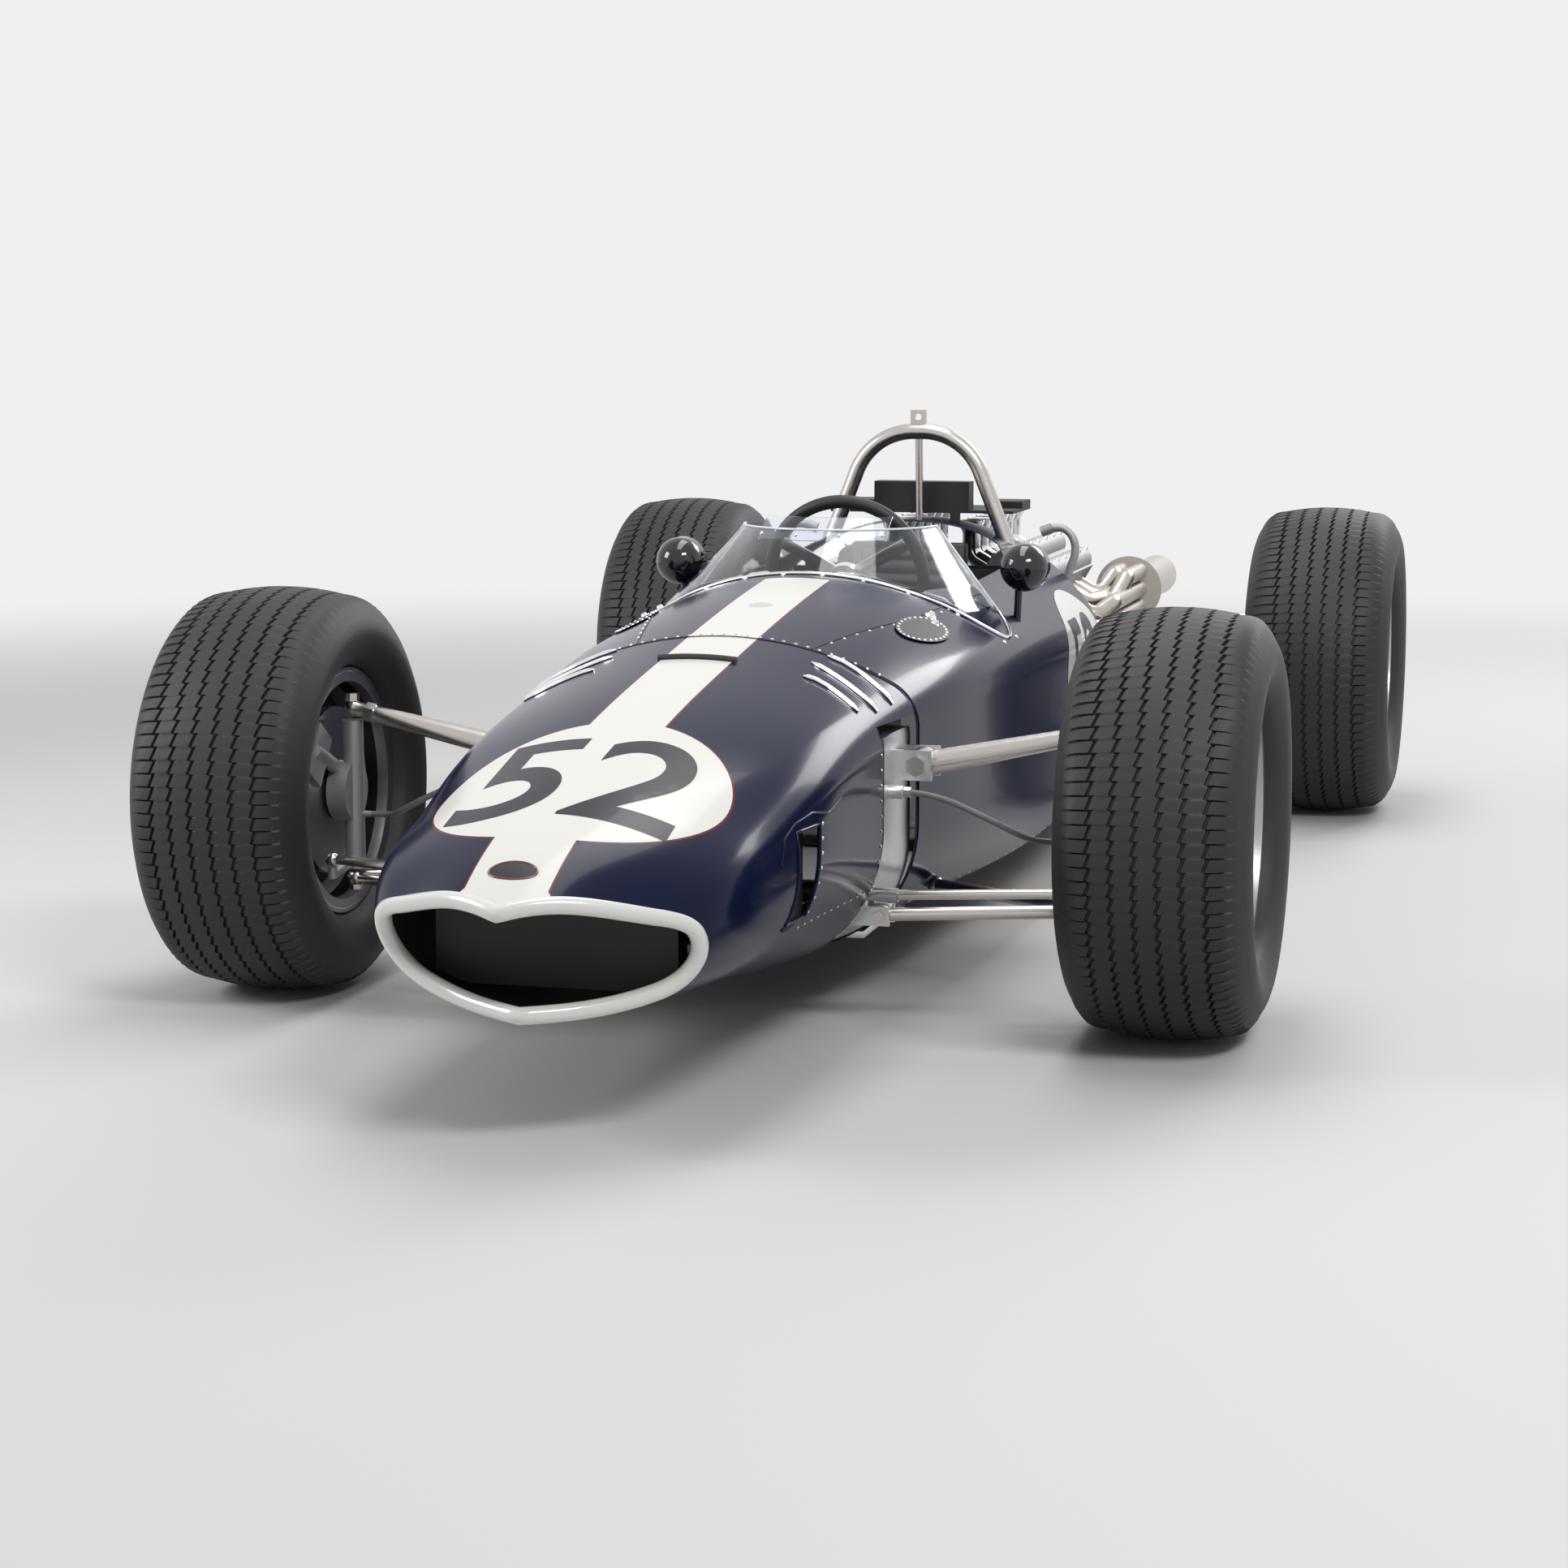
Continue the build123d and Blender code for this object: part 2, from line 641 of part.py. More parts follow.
def screen_sheet(low, high, offset):
    """Part of the screen's cone between two heights, taken inward by an offset."""
    faces = []
    for z in (low, high):
        outer = screen_arc(z, offset)
        inner = screen_arc(z, offset + screen_wall)
        faces.append(Face(Wire([outer, Line(outer @ 1, inner @ 1), inner, Line(inner @ 0, outer @ 0)])))
    return loft(faces, ruled=True)


def windscreen():
    """The wraparound screen that stands on the scuttle."""
    return screen_sheet(screen_foot_z, screen_top_z, 0.0) - outer_form


def screen_visor():
    """The clear upper strip behind the screen's top edge."""
    strip = screen_sheet(visor_low_z, visor_top_z, screen_wall + running_gap)
    return strip & slab(screen_foot_apex, screen_rear, visor_low_z, visor_top_z, visor_half_width)


def column_plane():
    """Plane across the steering column at the wheel; its normal points at the driver."""
    tilt = math.radians(column_tilt)
    return Plane(origin=at(0.0, steering_wheel_station, steering_wheel_z), x_dir=(1, 0, 0),
                 z_dir=(0, math.cos(tilt), math.sin(tilt)))


def steering_wheel():
    """A three spoke wheel with a round rim, and its column."""
    ring = Torus(steering_wheel_radius - steering_rim_radius, steering_rim_radius)
    hub = Pos(0, 0, -16.0) * Cylinder(30.0, 20.0)
    wheel = ring + hub
    for angle in (0, 120, 240):
        spoke = Rot(0, 0, angle + 90) * Pos(82.0, 0, -10.0) * Box(130.0, 22.0, 5.0)
        wheel = wheel + spoke
    column = Pos(0, 0, -20.0 - column_length / 2) * Cylinder(column_radius, column_length)
    return column_plane() * (wheel + column)


def dash_panel():
    """The panel under the scuttle, with three dials and the column's bush."""
    panel = slab(dash_station, dash_station + dash_thickness, 505.0, 760.0, 214.0)
    panel = panel & body_form(cowl_wall + 0.5)
    for x in (-120.0, 0.0, 120.0):
        z = 600.0 if x else 622.0
        dial = rod(at(x, dash_station - 20.0, z), at(x, dash_station + dash_thickness + 8.0, z), 34.0)
        panel = panel + dial
    bush = column_plane() * Pos(0, 0, -350.0) * Cylinder(19.0, 50.0)
    bore = column_plane() * Pos(0, 0, -350.0) * Cylinder(column_radius + running_gap, 400.0)
    return panel + bush - bore


def seat():
    """A one piece seat that leans on the bulkhead behind the driver."""
    def shell(points, half):
        face = Face(Wire(Polyline(*[at(-half, s, z) for s, z in points], close=True).edges()))
        return extrude(face, amount=2 * half, dir=(1, 0, 0))

    foot = cockpit_floor + running_gap
    back = seat_back_station
    low = shell(((back - 630.0, foot), (back - 290.0, foot), (back - 35.0, 520.0), (back - 70.0, 540.0),
                 (back - 325.0, 172.0), (back - 630.0, 152.0)), 196.0)
    high = shell(((back - 190.0, 300.0), (back - 26.0, 540.0), (back - 26.0, 668.0), (back - 62.0, 668.0),
                  (back - 86.0, 560.0)), 118.0)
    wings = both(block(176.0, 196.0, front_axle_y + back - 370.0, front_axle_y + back - 70.0, foot, 470.0))
    return fused(low, high, *wings)


def mirrors():
    """Two bullet mirrors on stalks."""
    nose = 4.0
    rim_height = 26.0
    slant = mirror_radius * math.sqrt(0.5)
    outline = [Line((0.0, -mirror_radius), (nose, -mirror_radius)),
               ThreePointArc((nose, -mirror_radius), (slant, -slant), (mirror_radius, 0.0)),
               Line((mirror_radius, 0.0), (mirror_radius, rim_height)),
               Line((mirror_radius, rim_height), (0.0, rim_height)),
               Line((0.0, rim_height), (0.0, -mirror_radius))]
    turned = revolve(Plane.XZ * Face(Wire(outline)), Axis.Z)
    shell = Plane(origin=at(mirror_x, mirror_station, mirror_z), x_dir=(1, 0, 0), z_dir=(0, 1, 0)) * turned
    root = at(mirror_x - 14.0, mirror_station, 520.0)
    stalk = rod(at(mirror_x - 8.0, mirror_station, mirror_z), root, 7.0)
    return both((shell + stalk) - outer_form)


def roll_hoop():
    """The hoop behind the driver, its centre stay and the lug on top."""
    foot = 640.0
    points = (at(-hoop_half_width - 6.0, hoop_station, foot), at(-98.0, hoop_station, hoop_top),
              at(98.0, hoop_station, hoop_top), at(hoop_half_width + 6.0, hoop_station, foot))
    hoop = pipe(points, hoop_tube_radius, hoop_bend)
    stay = rod(at(0.0, hoop_station + 4.0, hoop_top - 4.0), at(0.0, hoop_station + 16.0, 690.0), 8.0)
    lug = block(-16.0, 16.0, front_axle_y + hoop_station - 5.0, front_axle_y + hoop_station + 5.0,
                hoop_top + 8.0, hoop_top + 44.0)
    eye = Pos(*at(0.0, hoop_station, hoop_top + 30.0)) * Rot(90, 0, 0) * Cylinder(7.0, 40.0)
    return fused(hoop, stay, lug) - eye - outer_form


def ignition_tray():
    """The shelf behind the hoop, with the ignition box and the two side blocks."""
    front = hoop_station + hoop_tube_radius + 14.0
    rear = hoop_station + 222.0
    shelf = slab(front, rear, 722.0, 728.0, 193.0)
    box = slab(front, front + 48.0, 727.0, 786.0, 100.0)
    legs = both(block(60.0, 80.0, front_axle_y + front, front_axle_y + rear_bulkhead_station, 660.0, 724.0))
    sides = both(block(122.0, 193.0, front_axle_y + rear - 92.0, front_axle_y + rear, 727.0, 742.0))
    return fused(shelf, box, *legs, *sides) - outer_form


def bank_plane():
    """Plane at the crank, across the +X bank: local X is outward, local Z along the bank's bores."""
    tilt = math.radians(vee_half_angle)
    return Plane(origin=at(0.0, 0.0, crank_z), x_dir=(math.cos(tilt), 0, -math.sin(tilt)),
                 z_dir=(math.sin(tilt), 0, math.cos(tilt)))


def bank_point(offset, station, height):
    """A point in the +X bank given across it, by station and up its bores."""
    tilt = math.radians(vee_half_angle)
    x = offset * math.cos(tilt) + height * math.sin(tilt)
    return at(x, station, crank_z - offset * math.sin(tilt) + height * math.cos(tilt))


def bank_block(across0, across1, along0, along1, extra=0.0):
    """A block in the +X bank's tilted frame over the length of the bores."""
    length = engine_rear - engine_front - 2 * extra
    middle = (engine_rear + engine_front) / 2
    box = Box(across1 - across0, length, along1 - along0)
    return bank_plane() * Pos((across0 + across1) / 2, middle, (along0 + along1) / 2) * box


def engine_block():
    """Crankcase, sump and both cylinder banks."""
    banks = both(bank_block(-bank_half_width, bank_half_width, 60.0, bank_deck))
    case = slab(engine_front, engine_rear, crank_z - 60.0, crank_z + 90.0, 128.0)
    sump = slab(engine_front + 20.0, engine_rear - 20.0, sump_bottom, crank_z - 50.0, sump_half_width)
    bulkhead = rear_bulkhead_station + running_gap
    cover = slab(bulkhead, engine_front + 5.0, crank_z - 40.0, crank_z + 180.0, 96.0)
    return fused(case, sump, cover, *banks)


def cylinder_heads():
    """Both heads with two cam covers each."""
    head = bank_block(-head_half_width, head_half_width, bank_deck + running_gap, bank_deck + head_height)
    length = engine_rear - engine_front - 12.0
    middle = (engine_rear + engine_front) / 2
    for offset in (-34.0, 34.0):
        cover = Rot(90, 0, 0) * Cylinder(cover_radius, length)
        head = head + bank_plane() * Pos(offset, middle, bank_deck + head_height - 3.0) * cover
    return both(head)


def bore_stations():
    return [first_bore + number * bore_spacing for number in range(cylinders_per_bank)]


def intake_trumpets():
    """Twelve trumpets that rise from the heads' inner faces."""
    pieces = []
    for station in bore_stations():
        start = bank_point(-head_half_width - running_gap, station, trumpet_port)
        bend = bank_point(-head_half_width - trumpet_stub, station, trumpet_port)
        neck = (bend[0], bend[1], trumpet_top - 26.0)
        stem = pipe((start, bend, neck), trumpet_radius, 28.0)
        mouth = rod(neck, (bend[0], bend[1], trumpet_top), trumpet_radius, trumpet_mouth_radius)
        bore = rod((bend[0], bend[1], trumpet_top - 20.0), (bend[0], bend[1], trumpet_top + 1.0),
                   trumpet_radius - 3.0, trumpet_mouth_radius - 3.0)
        pieces += both(stem + mouth - bore)
    return pieces


def exhaust():
    """The +X side's exhaust: six pipes into a collector and a tapered tail."""
    pieces = []
    for number, station in enumerate(bore_stations()):
        level = level_base + (number // 2) * level_step
        lane = inner_lane if number % 2 else outer_lane
        start = bank_point(head_half_width + running_gap, station, port_along_bank)
        out = bank_point(head_half_width + 52.0 + (lane - inner_lane), station, port_along_bank)
        down = at(lane, station + 55.0, level)
        end = at(lane, collector_front + 8.0, level)
        pieces.append(pipe((start, out, down, end), primary_radius, 24.0))
    centre = at(collector_x + 5.0, collector_front, collector_z)
    neck = at(collector_x - 12.0, collector_rear, collector_z - 8.0)
    collector = rod(centre, neck, 74.0, tail_small)
    tip = at(tail_x, tail_station, tail_z)
    tail = rod(neck, tip, tail_small, tail_large)

    def bore_end(share):
        point = Vector(*tip) + (Vector(*neck) - Vector(*tip)) * share
        return tuple(point), tail_large + (tail_small - tail_large) * share - tail_wall

    outside, outside_radius = bore_end(-0.03)
    inside, inside_radius = bore_end(tail_bore_share)
    mouth = rod(outside, inside, outside_radius, inside_radius)
    whole = fused(collector, tail, *pieces) - mouth
    return whole & slab(first_bore - 60.0, tail_station)


def gearbox():
    """The transaxle behind the engine, with the output flanges and the tail's jacking pin."""
    bell = slab(engine_rear + running_gap, engine_rear + 90.0, gearbox_bottom, gearbox_top, bell_half_width)
    case = slab(engine_rear + 80.0, gearbox_rear - 120.0, gearbox_bottom, gearbox_top, gearbox_half_width)
    tail = slab(gearbox_rear - 130.0, gearbox_rear, gearbox_bottom + 40.0, gearbox_top - 50.0, 74.0)
    reach = gearbox_half_width + 15.0
    flanges = across(wheelbase, rear_tyre_radius, reach, 44.0)
    low, high = gearbox_top - 10.0, damper_top_z + 30.0
    tower = slab(damper_station - 16.0, damper_station + 16.0, low, high, 92.0)
    lug = slab(gearbox_rear - 5.0, gearbox_rear + 44.0, tail_eye_z - 22.0, tail_eye_z + 22.0, 12.0)
    eye = Pos(*at(0.0, gearbox_rear + 24.0, tail_eye_z)) * Rot(0, 90, 0) * Cylinder(tail_eye_radius, 40.0)
    return fused(bell, case, tail, flanges, tower, lug) - eye


def rear_upright():
    """The rear upright on the +X side, with its bearing housing and caliper."""
    wheel_x = rear_track / 2
    disc_x = wheel_x - disc_offset
    post = block(rear_upright_x - 14.0, rear_upright_x + 6.0, front_axle_y + wheelbase - 22.0,
                 front_axle_y + wheelbase + 22.0, rear_low_z - 22.0, rear_top_z + 22.0)
    z = rear_tyre_radius
    housing = rod(at(rear_upright_x - 18.0, wheelbase, z), at(disc_x - 12.0, wheelbase, z), 58.0)
    spindle = rod(at(rear_upright_x, wheelbase, z), at(wheel_x - 10.0, wheelbase, z), spindle_radius)
    grip = caliper(disc_x, wheelbase, z)
    bridge_x = disc_x - caliper_half_width + 6.0
    bridge = rod(at(bridge_x, wheelbase, z + 30.0), at(bridge_x, wheelbase - 118.0, z + 82.0), 12.0)
    return fused(post, housing, spindle, grip, bridge)


def driveshafts():
    """Half shafts with a joint at each end."""
    inner = gearbox_half_width + 15.0 + running_gap
    outer = rear_upright_x - 18.0 - running_gap
    z = rear_tyre_radius
    shaft = fused(rod(at(inner, wheelbase, z), at(inner + 60.0, wheelbase, z), joint_radius),
                  rod(at(outer - 60.0, wheelbase, z), at(outer, wheelbase, z), joint_radius),
                  rod(at(inner + 50.0, wheelbase, z), at(outer - 50.0, wheelbase, z), driveshaft_radius))
    return both(shaft)


def between(inner, outer):
    """All the space between two distances from the centre plane, on the +X side."""
    return block(inner, outer, front_axle_y, front_axle_y + overall_length, 0.0, high_above_all)


def rear_top_links():
    """One link each side from the gearbox to the top of the upright."""
    inner, outer = gearbox_half_width + running_gap, rear_upright_x - 14.0 - running_gap
    start, end = at(inner - 10.0, wheelbase, rear_top_z - 14.0), at(outer + 10.0, wheelbase, rear_top_z)
    return both(rod(start, end, link_radius) & between(inner, outer))


def rear_lower_arms():
    """A reversed wishbone each side, from two points under the gearbox to the upright."""
    inner, outer = gearbox_half_width + running_gap, rear_upright_x - 14.0 - running_gap
    end = at(outer + 20.0, wheelbase, rear_low_z)
    legs = [rod(at(inner - 12.0, wheelbase + spread, gearbox_bottom + 16.0), end, link_radius)
            for spread in (-lower_link_spread, lower_link_spread)]
    return both(fused(*legs) & between(inner, outer))


def radius_rods():
    """Two long rods each side from the tub back to the upright."""
    rods = []
    tub_side = outer_form & slab(radius_rod_front - 60.0, radius_rod_front + 200.0)
    for root_z, end_z in ((452.0, rear_top_z - 14.0), (236.0, rear_low_z + 34.0)):
        end = at(rear_upright_x - 2.0, wheelbase - 22.0 - link_radius - 3.0 - running_gap, end_z)
        bar = rod(at(362.0, radius_rod_front, root_z), end, link_radius)
        rods += both(fused(bar, ball(end, link_radius + 3.0)) - tub_side)
    return rods


def spring_units():
    """A coil and damper each side, from the upright's foot up to the gearbox tower."""
    foot = at(rear_upright_x - 30.0, damper_station, rear_low_z + 20.0)
    top = at(92.0 + 18.0 + running_gap, damper_station, damper_top_z)
    low = Vector(*foot) + (Vector(*top) - Vector(*foot)) * 0.30
    high = Vector(*foot) + (Vector(*top) - Vector(*foot)) * 0.82
    pickup = at(rear_upright_x - 10.0, wheelbase + 22.0 + running_gap + 12.0, rear_low_z + 16.0)
    unit = fused(rod(foot, top, 13.0), rod(tuple(low), tuple(high), spring_radius), ball(top, 18.0),
                 rod(foot, pickup, 12.0))
    return both(unit - slab(wheelbase - 100.0, wheelbase + 22.0 + running_gap))


def brake_hose():
    """The flexible hose on the +X side, from the frame's union to the boss on the upright."""
    end = kingpin_x - hose_end_reach - 3 * running_gap
    points = (at(hose_union_x + running_gap, hose_union_station, hose_union_z),
              at(hose_union_x + 48.0, hose_union_station, hose_union_z),
              at(470.0, hose_union_station, 345.0), at(530.0, -60.0, 312.0),
              at(end - 36.0, 0.0, hose_end_z), at(end, 0.0, hose_end_z))
    return pipe(points, hose_radius, hose_bend)


if __name__ == "__main__":
    os.makedirs("parts", exist_ok=True)
    put("nose_cowl", nose_cowl())
    put("monocoque_tub", monocoque_tub())
    put("scuttle_cowl", scuttle_cowl())
    put("windscreen", windscreen())
    put("screen_visor", screen_visor())
    put("front_frame", front_frame())
    put("radiator", radiator())
    put("front_rockers", front_rockers())
    put("front_lower_arms", front_lower_arms())
    put("steering_rack", steering_rack())
    put("track_rods", track_rods())
    put("steering_wheel", steering_wheel())
    put("dash_panel", dash_panel())
    put("seat", seat())
    put("mirrors", mirrors())
    put("roll_hoop", roll_hoop())
    put("ignition_tray", ignition_tray())
    put("engine_block", engine_block())
    put("cylinder_heads", cylinder_heads())
    put("intake_trumpets", intake_trumpets())
    put("gearbox", gearbox())
    put("driveshafts", driveshafts())
    put("rear_top_links", rear_top_links())
    put("rear_lower_arms", rear_lower_arms())
    put("radius_rods", radius_rods())
    put("spring_units", spring_units())
    front_x, rear_x = front_track / 2, rear_track / 2
    pairs = {
        "front_upright": front_upright(),
        "front_disc": brake_disc(front_x, 0.0, front_tyre_radius, spindle_radius + running_gap),
        "front_rim": rim(front_x, 0.0, front_tyre_radius, front_rim_width),
        "front_tyre": tyre(front_x, 0.0, front_tyre_radius, front_tyre_width, front_rim_width),
        "rear_upright": rear_upright(),
        "rear_disc": brake_disc(rear_x, wheelbase, rear_tyre_radius, spindle_radius + running_gap),
        "rear_rim": rim(rear_x, wheelbase, rear_tyre_radius, rear_rim_width),
        "rear_tyre": tyre(rear_x, wheelbase, rear_tyre_radius, rear_tyre_width, rear_rim_width),
        "exhaust": exhaust(),
        "brake_hose": brake_hose(),
    }
    for name, shape in pairs.items():
        left, right = both(shape)
        put(name + "_left", left)
        put(name + "_right", right)
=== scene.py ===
"""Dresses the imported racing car: painted skin, lip, louvres, screen, wheels with tread, arms, engine, and a studio."""

import math

import bmesh
import bpy
from mathutils import Matrix, Vector


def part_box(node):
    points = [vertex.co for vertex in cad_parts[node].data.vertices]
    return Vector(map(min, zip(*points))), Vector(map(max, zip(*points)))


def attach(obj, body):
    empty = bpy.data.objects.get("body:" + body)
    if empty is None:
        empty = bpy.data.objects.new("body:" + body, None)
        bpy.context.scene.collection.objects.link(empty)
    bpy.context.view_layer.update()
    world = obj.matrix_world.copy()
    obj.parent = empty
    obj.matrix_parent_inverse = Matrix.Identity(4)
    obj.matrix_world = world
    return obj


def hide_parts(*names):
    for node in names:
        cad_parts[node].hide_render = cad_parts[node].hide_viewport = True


bl_info = {
    "name": "Open wheel racing car",
    "version": (1, 0, 0),
    "blender": (4, 5, 0),
    "location": "3D View > Sidebar > Racing car",
    "description": "Builds the looks of a single seat racing car around its packed solids",
    "category": "Object",
}

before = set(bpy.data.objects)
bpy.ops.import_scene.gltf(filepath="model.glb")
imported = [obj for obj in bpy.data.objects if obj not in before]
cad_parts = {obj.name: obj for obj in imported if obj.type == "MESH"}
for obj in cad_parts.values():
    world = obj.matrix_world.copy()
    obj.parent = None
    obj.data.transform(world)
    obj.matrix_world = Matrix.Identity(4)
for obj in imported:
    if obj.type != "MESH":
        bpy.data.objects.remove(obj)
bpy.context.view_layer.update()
MM = 0.001


def node_centre(node):
    """Middle of a CAD node's box."""
    low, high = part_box(node)
    return (Vector(low) + Vector(high)) / 2


front_axle = node_centre("front_tyre_left").y
rear_axle = node_centre("rear_tyre_left").y
materials = {}

# Outer form of the body, in millimetres. Columns: station from the front axle, half width, top, bottom,
# crown radius across the top, shoulder radius, sill radius, belly radius
HULL = (
    (-1062.0, 172.0, 345.0, 160.0, 200.0, 66.0, 45.0, 1300.0),
    (-985.0, 184.0, 388.0, 178.0, 204.0, 98.0, 50.0, 1000.0),
    (-880.0, 236.0, 427.0, 174.0, 346.0, 62.0, 105.0, 480.0),
    (-680.0, 278.0, 481.0, 154.0, 464.0, 86.0, 145.0, 500.0),
    (-482.0, 296.0, 525.0, 142.0, 580.0, 96.0, 200.0, 1000.0),
    (-90.0, 313.0, 589.0, 96.0, 610.0, 76.0, 216.0, 1500.0),
    (285.0, 352.0, 640.0, 100.0, 600.0, 96.0, 200.0, 2200.0),
    (900.0, 372.0, 694.0, 100.0, 470.0, 110.0, 100.0, 2400.0),
    (1500.0, 368.0, 712.0, 100.0, 430.0, 110.0, 100.0, 2400.0),
    (1900.0, 346.0, 700.0, 100.0, 420.0, 110.0, 100.0, 2400.0),
    (2290.0, 300.0, 660.0, 104.0, 380.0, 110.0, 90.0, 2400.0),
)
STATIONS = [row[0] for row in HULL]
# Where the crown, shoulder, side, sill and belly end along a half section that runs from 0 to 1
SHARES = (0.0, 0.34, 0.56, 0.70, 0.84, 1.0)

# Stations, heights and half widths in millimetres, where nothing else is said
NOSE_FRONT = HULL[0][0]
COWL_REAR = 51.0
COWL_FLANK_REAR = -128.0
COWL_FLANK_TOP = 492.0
SLOT_STATION = -96.0
TUB_REAR = 2250.0
DECK_REAR = 1595.0
PONTOON_TOP = 425.0
BAY_HALF = 232.0
MOUTH_TIP = (-1050.0, 353.64)
MOUTH_SWEEP = 0.59  # how far the mouth's plane runs back for each millimetre sideways
MOUTH_RAKE = 0.516  # and for each millimetre down
CAP = (-973.0, 34.0, 19.0)  # station, half width, half length
DUCT = (-566.0, -474.0, 255.0, 392.0)  # front, rear, bottom, top
SLOT_HALF, SLOT_WIDE = 60.0, 5.5
# The cockpit's opening on the +X side. Columns: station, half width
OPENING = ((565.0, 120.0), (640.0, 196.0), (860.0, 236.0), (1250.0, 238.0), (1470.0, 176.0))
BACKDROP = (0.87, 0.87, 0.88, 1.0)
FLOOR_FADE = (2.6, 7.5)  # metres from the car's middle where the floor starts and ends its fade
STRIPE_HALF = 58.5
OUTLINE = 3.0
STRIPE_END = 536.0
STRIPE_LOW = 0.32  # height in metres under which nothing is striped
FLARE = (-1000.0, 0.9)  # station where the stripe starts to widen towards the lip, and how fast
ROUNDEL = (-673.0, 216.0, 212.0)  # station of the centre, half length, half width
FLANK_ROUNDEL = (1400.0, 432.0, 205.0, 148.0)  # station, height, half length, half height
BARREL_SHADE = (0.66, 0.752)  # metres from the centre line between which a rim's barrel is coloured near black as painted shade
RIVET = (3.2, 1.6)  # radius and height
STEERING_CENTRE = (0.0, 905.0, 640.0)
STEERING_TILT = math.radians(14.0)
BANK_TILT = math.radians(30.0)  # lean of a bank of cylinders


class CarColours(bpy.types.PropertyGroup):
    """Colours a user would change."""

    paint: bpy.props.FloatVectorProperty(
        name="Paint", description="Body colour", subtype="COLOR", default=(0.0035, 0.007, 0.033))
    stripe: bpy.props.FloatVectorProperty(
        name="Stripe", description="Stripe, roundels and lip", subtype="COLOR", default=(0.74, 0.74, 0.7))
    outline: bpy.props.FloatVectorProperty(
        name="Outline", description="Thin line round the stripe and roundels", subtype="COLOR",
        default=(0.16, 0.008, 0.012))
    figures: bpy.props.FloatVectorProperty(
        name="Figures", description="Race number", subtype="COLOR", default=(0.01, 0.011, 0.018))


class CarSizes(bpy.types.PropertyGroup):
    """Sizes a user would change."""

    number: bpy.props.StringProperty(name="Number", description="Race number on the roundels", default="52")
    lip_radius: bpy.props.FloatProperty(
        name="Lip radius", description="Radius of the bead round the mouth", default=0.0125, unit="LENGTH")
    tread_depth: bpy.props.FloatProperty(
        name="Tread depth", description="Depth of the tyre grooves", default=0.006, unit="LENGTH")
    camera_lens: bpy.props.FloatProperty(
        name="Lens", description="Camera focal length in millimetres", default=74.27)


# Points, meshes and objects


def at(x, station, z):
    """A point of the row frame from millimetres, with its station counted back from the front axle."""
    return Vector((x * MM, front_axle + station * MM, z * MM))


def section_point(row, t):
    """A point on one half section, from the top centre at 0 to the bottom centre at 1."""
    half, top, bottom, crown, shoulder, sill, belly = row[1:]
    crown_z, belly_z = top - crown, bottom + belly
    shoulder_x, sill_x = half - shoulder, half - sill
    shoulder_z = crown_z + math.sqrt((crown - shoulder) ** 2 - shoulder_x ** 2)
    sill_z = belly_z - math.sqrt((belly - sill) ** 2 - sill_x ** 2)
    up = math.atan2(shoulder_z - crown_z, shoulder_x)
    down = math.atan2(sill_z - belly_z, sill_x)
    piece = next(i for i in range(5) if t <= SHARES[i + 1] or i == 4)
    f = (t - SHARES[piece]) / (SHARES[piece + 1] - SHARES[piece])
    if piece == 2:
        return half, shoulder_z + (sill_z - shoulder_z) * f
    arcs = {0: (0.0, crown_z, crown, math.pi / 2, up), 1: (shoulder_x, shoulder_z, shoulder, up, 0.0),
            3: (sill_x, sill_z, sill, 0.0, down), 4: (0.0, belly_z, belly, down, -math.pi / 2)}
    cx, cz, radius, start, end = arcs[piece]
    angle = start + (end - start) * f
    return cx + radius * math.cos(angle), cz + radius * math.sin(angle)


def spline_curves(values):
    """Second derivatives at the stations of the natural cubic spline through the values."""
    count = len(values)
    curve, carry = [0.0] * count, [0.0] * count
    for i in range(1, count - 1):
        before, after = STATIONS[i] - STATIONS[i - 1], STATIONS[i + 1] - STATIONS[i]
        share = before / (before + after)
        pivot = share * curve[i - 1] + 2.0
        curve[i] = (share - 1.0) / pivot
        slope = (values[i + 1] - values[i]) / after - (values[i] - values[i - 1]) / before
        carry[i] = (6.0 * slope / (before + after) - share * carry[i - 1]) / pivot
    for i in range(count - 2, -1, -1):
        curve[i] = curve[i] * curve[i + 1] + carry[i]
    return curve


def spline_value(values, curve, station):
    """The spline's value at a station."""
    i = next((k for k in range(len(STATIONS) - 2) if station < STATIONS[k + 1]), len(STATIONS) - 2)
    width = STATIONS[i + 1] - STATIONS[i]
    a = (STATIONS[i + 1] - station) / width
    b = 1.0 - a
    bend = ((a ** 3 - a) * curve[i] + (b ** 3 - b) * curve[i + 1]) * width ** 2 / 6.0
    return a * values[i] + b * values[i + 1] + bend


hull_columns = {}


def hull_xz(t, station):
    """Half width and height of the hull, in millimetres, at a share t round the half section."""
    key = round(t, 5)
    if key not in hull_columns:
        points = [section_point(row, key) for row in HULL]
        xs, zs = [p[0] for p in points], [p[1] for p in points]
        hull_columns[key] = (xs, spline_curves(xs), zs, spline_curves(zs))
    xs, x_curve, zs, z_curve = hull_columns[key]
    return spline_value(xs, x_curve, station), spline_value(zs, z_curve, station)


def hull_point(t, station, lift=0.0):
    """A point of the hull in the row frame, lifted off the surface along its normal by millimetres."""
    x, z = hull_xz(t, station)
    if not lift:
        return at(x, station, z)
    step = 0.004
    x0, z0 = hull_xz(max(t - step, 0.0), station)
    x1, z1 = hull_xz(min(t + step, 1.0), station)
    x2, z2 = hull_xz(t, station + 4.0)
    across = Vector((x1 - x0, 0.0, z1 - z0))
    along = Vector((x2 - x, 4.0, z2 - z))
    normal = across.cross(along)
    if t < 0.0001:
        normal.x = 0.0
    return at(x, station, z) + normal.normalized() * lift * MM


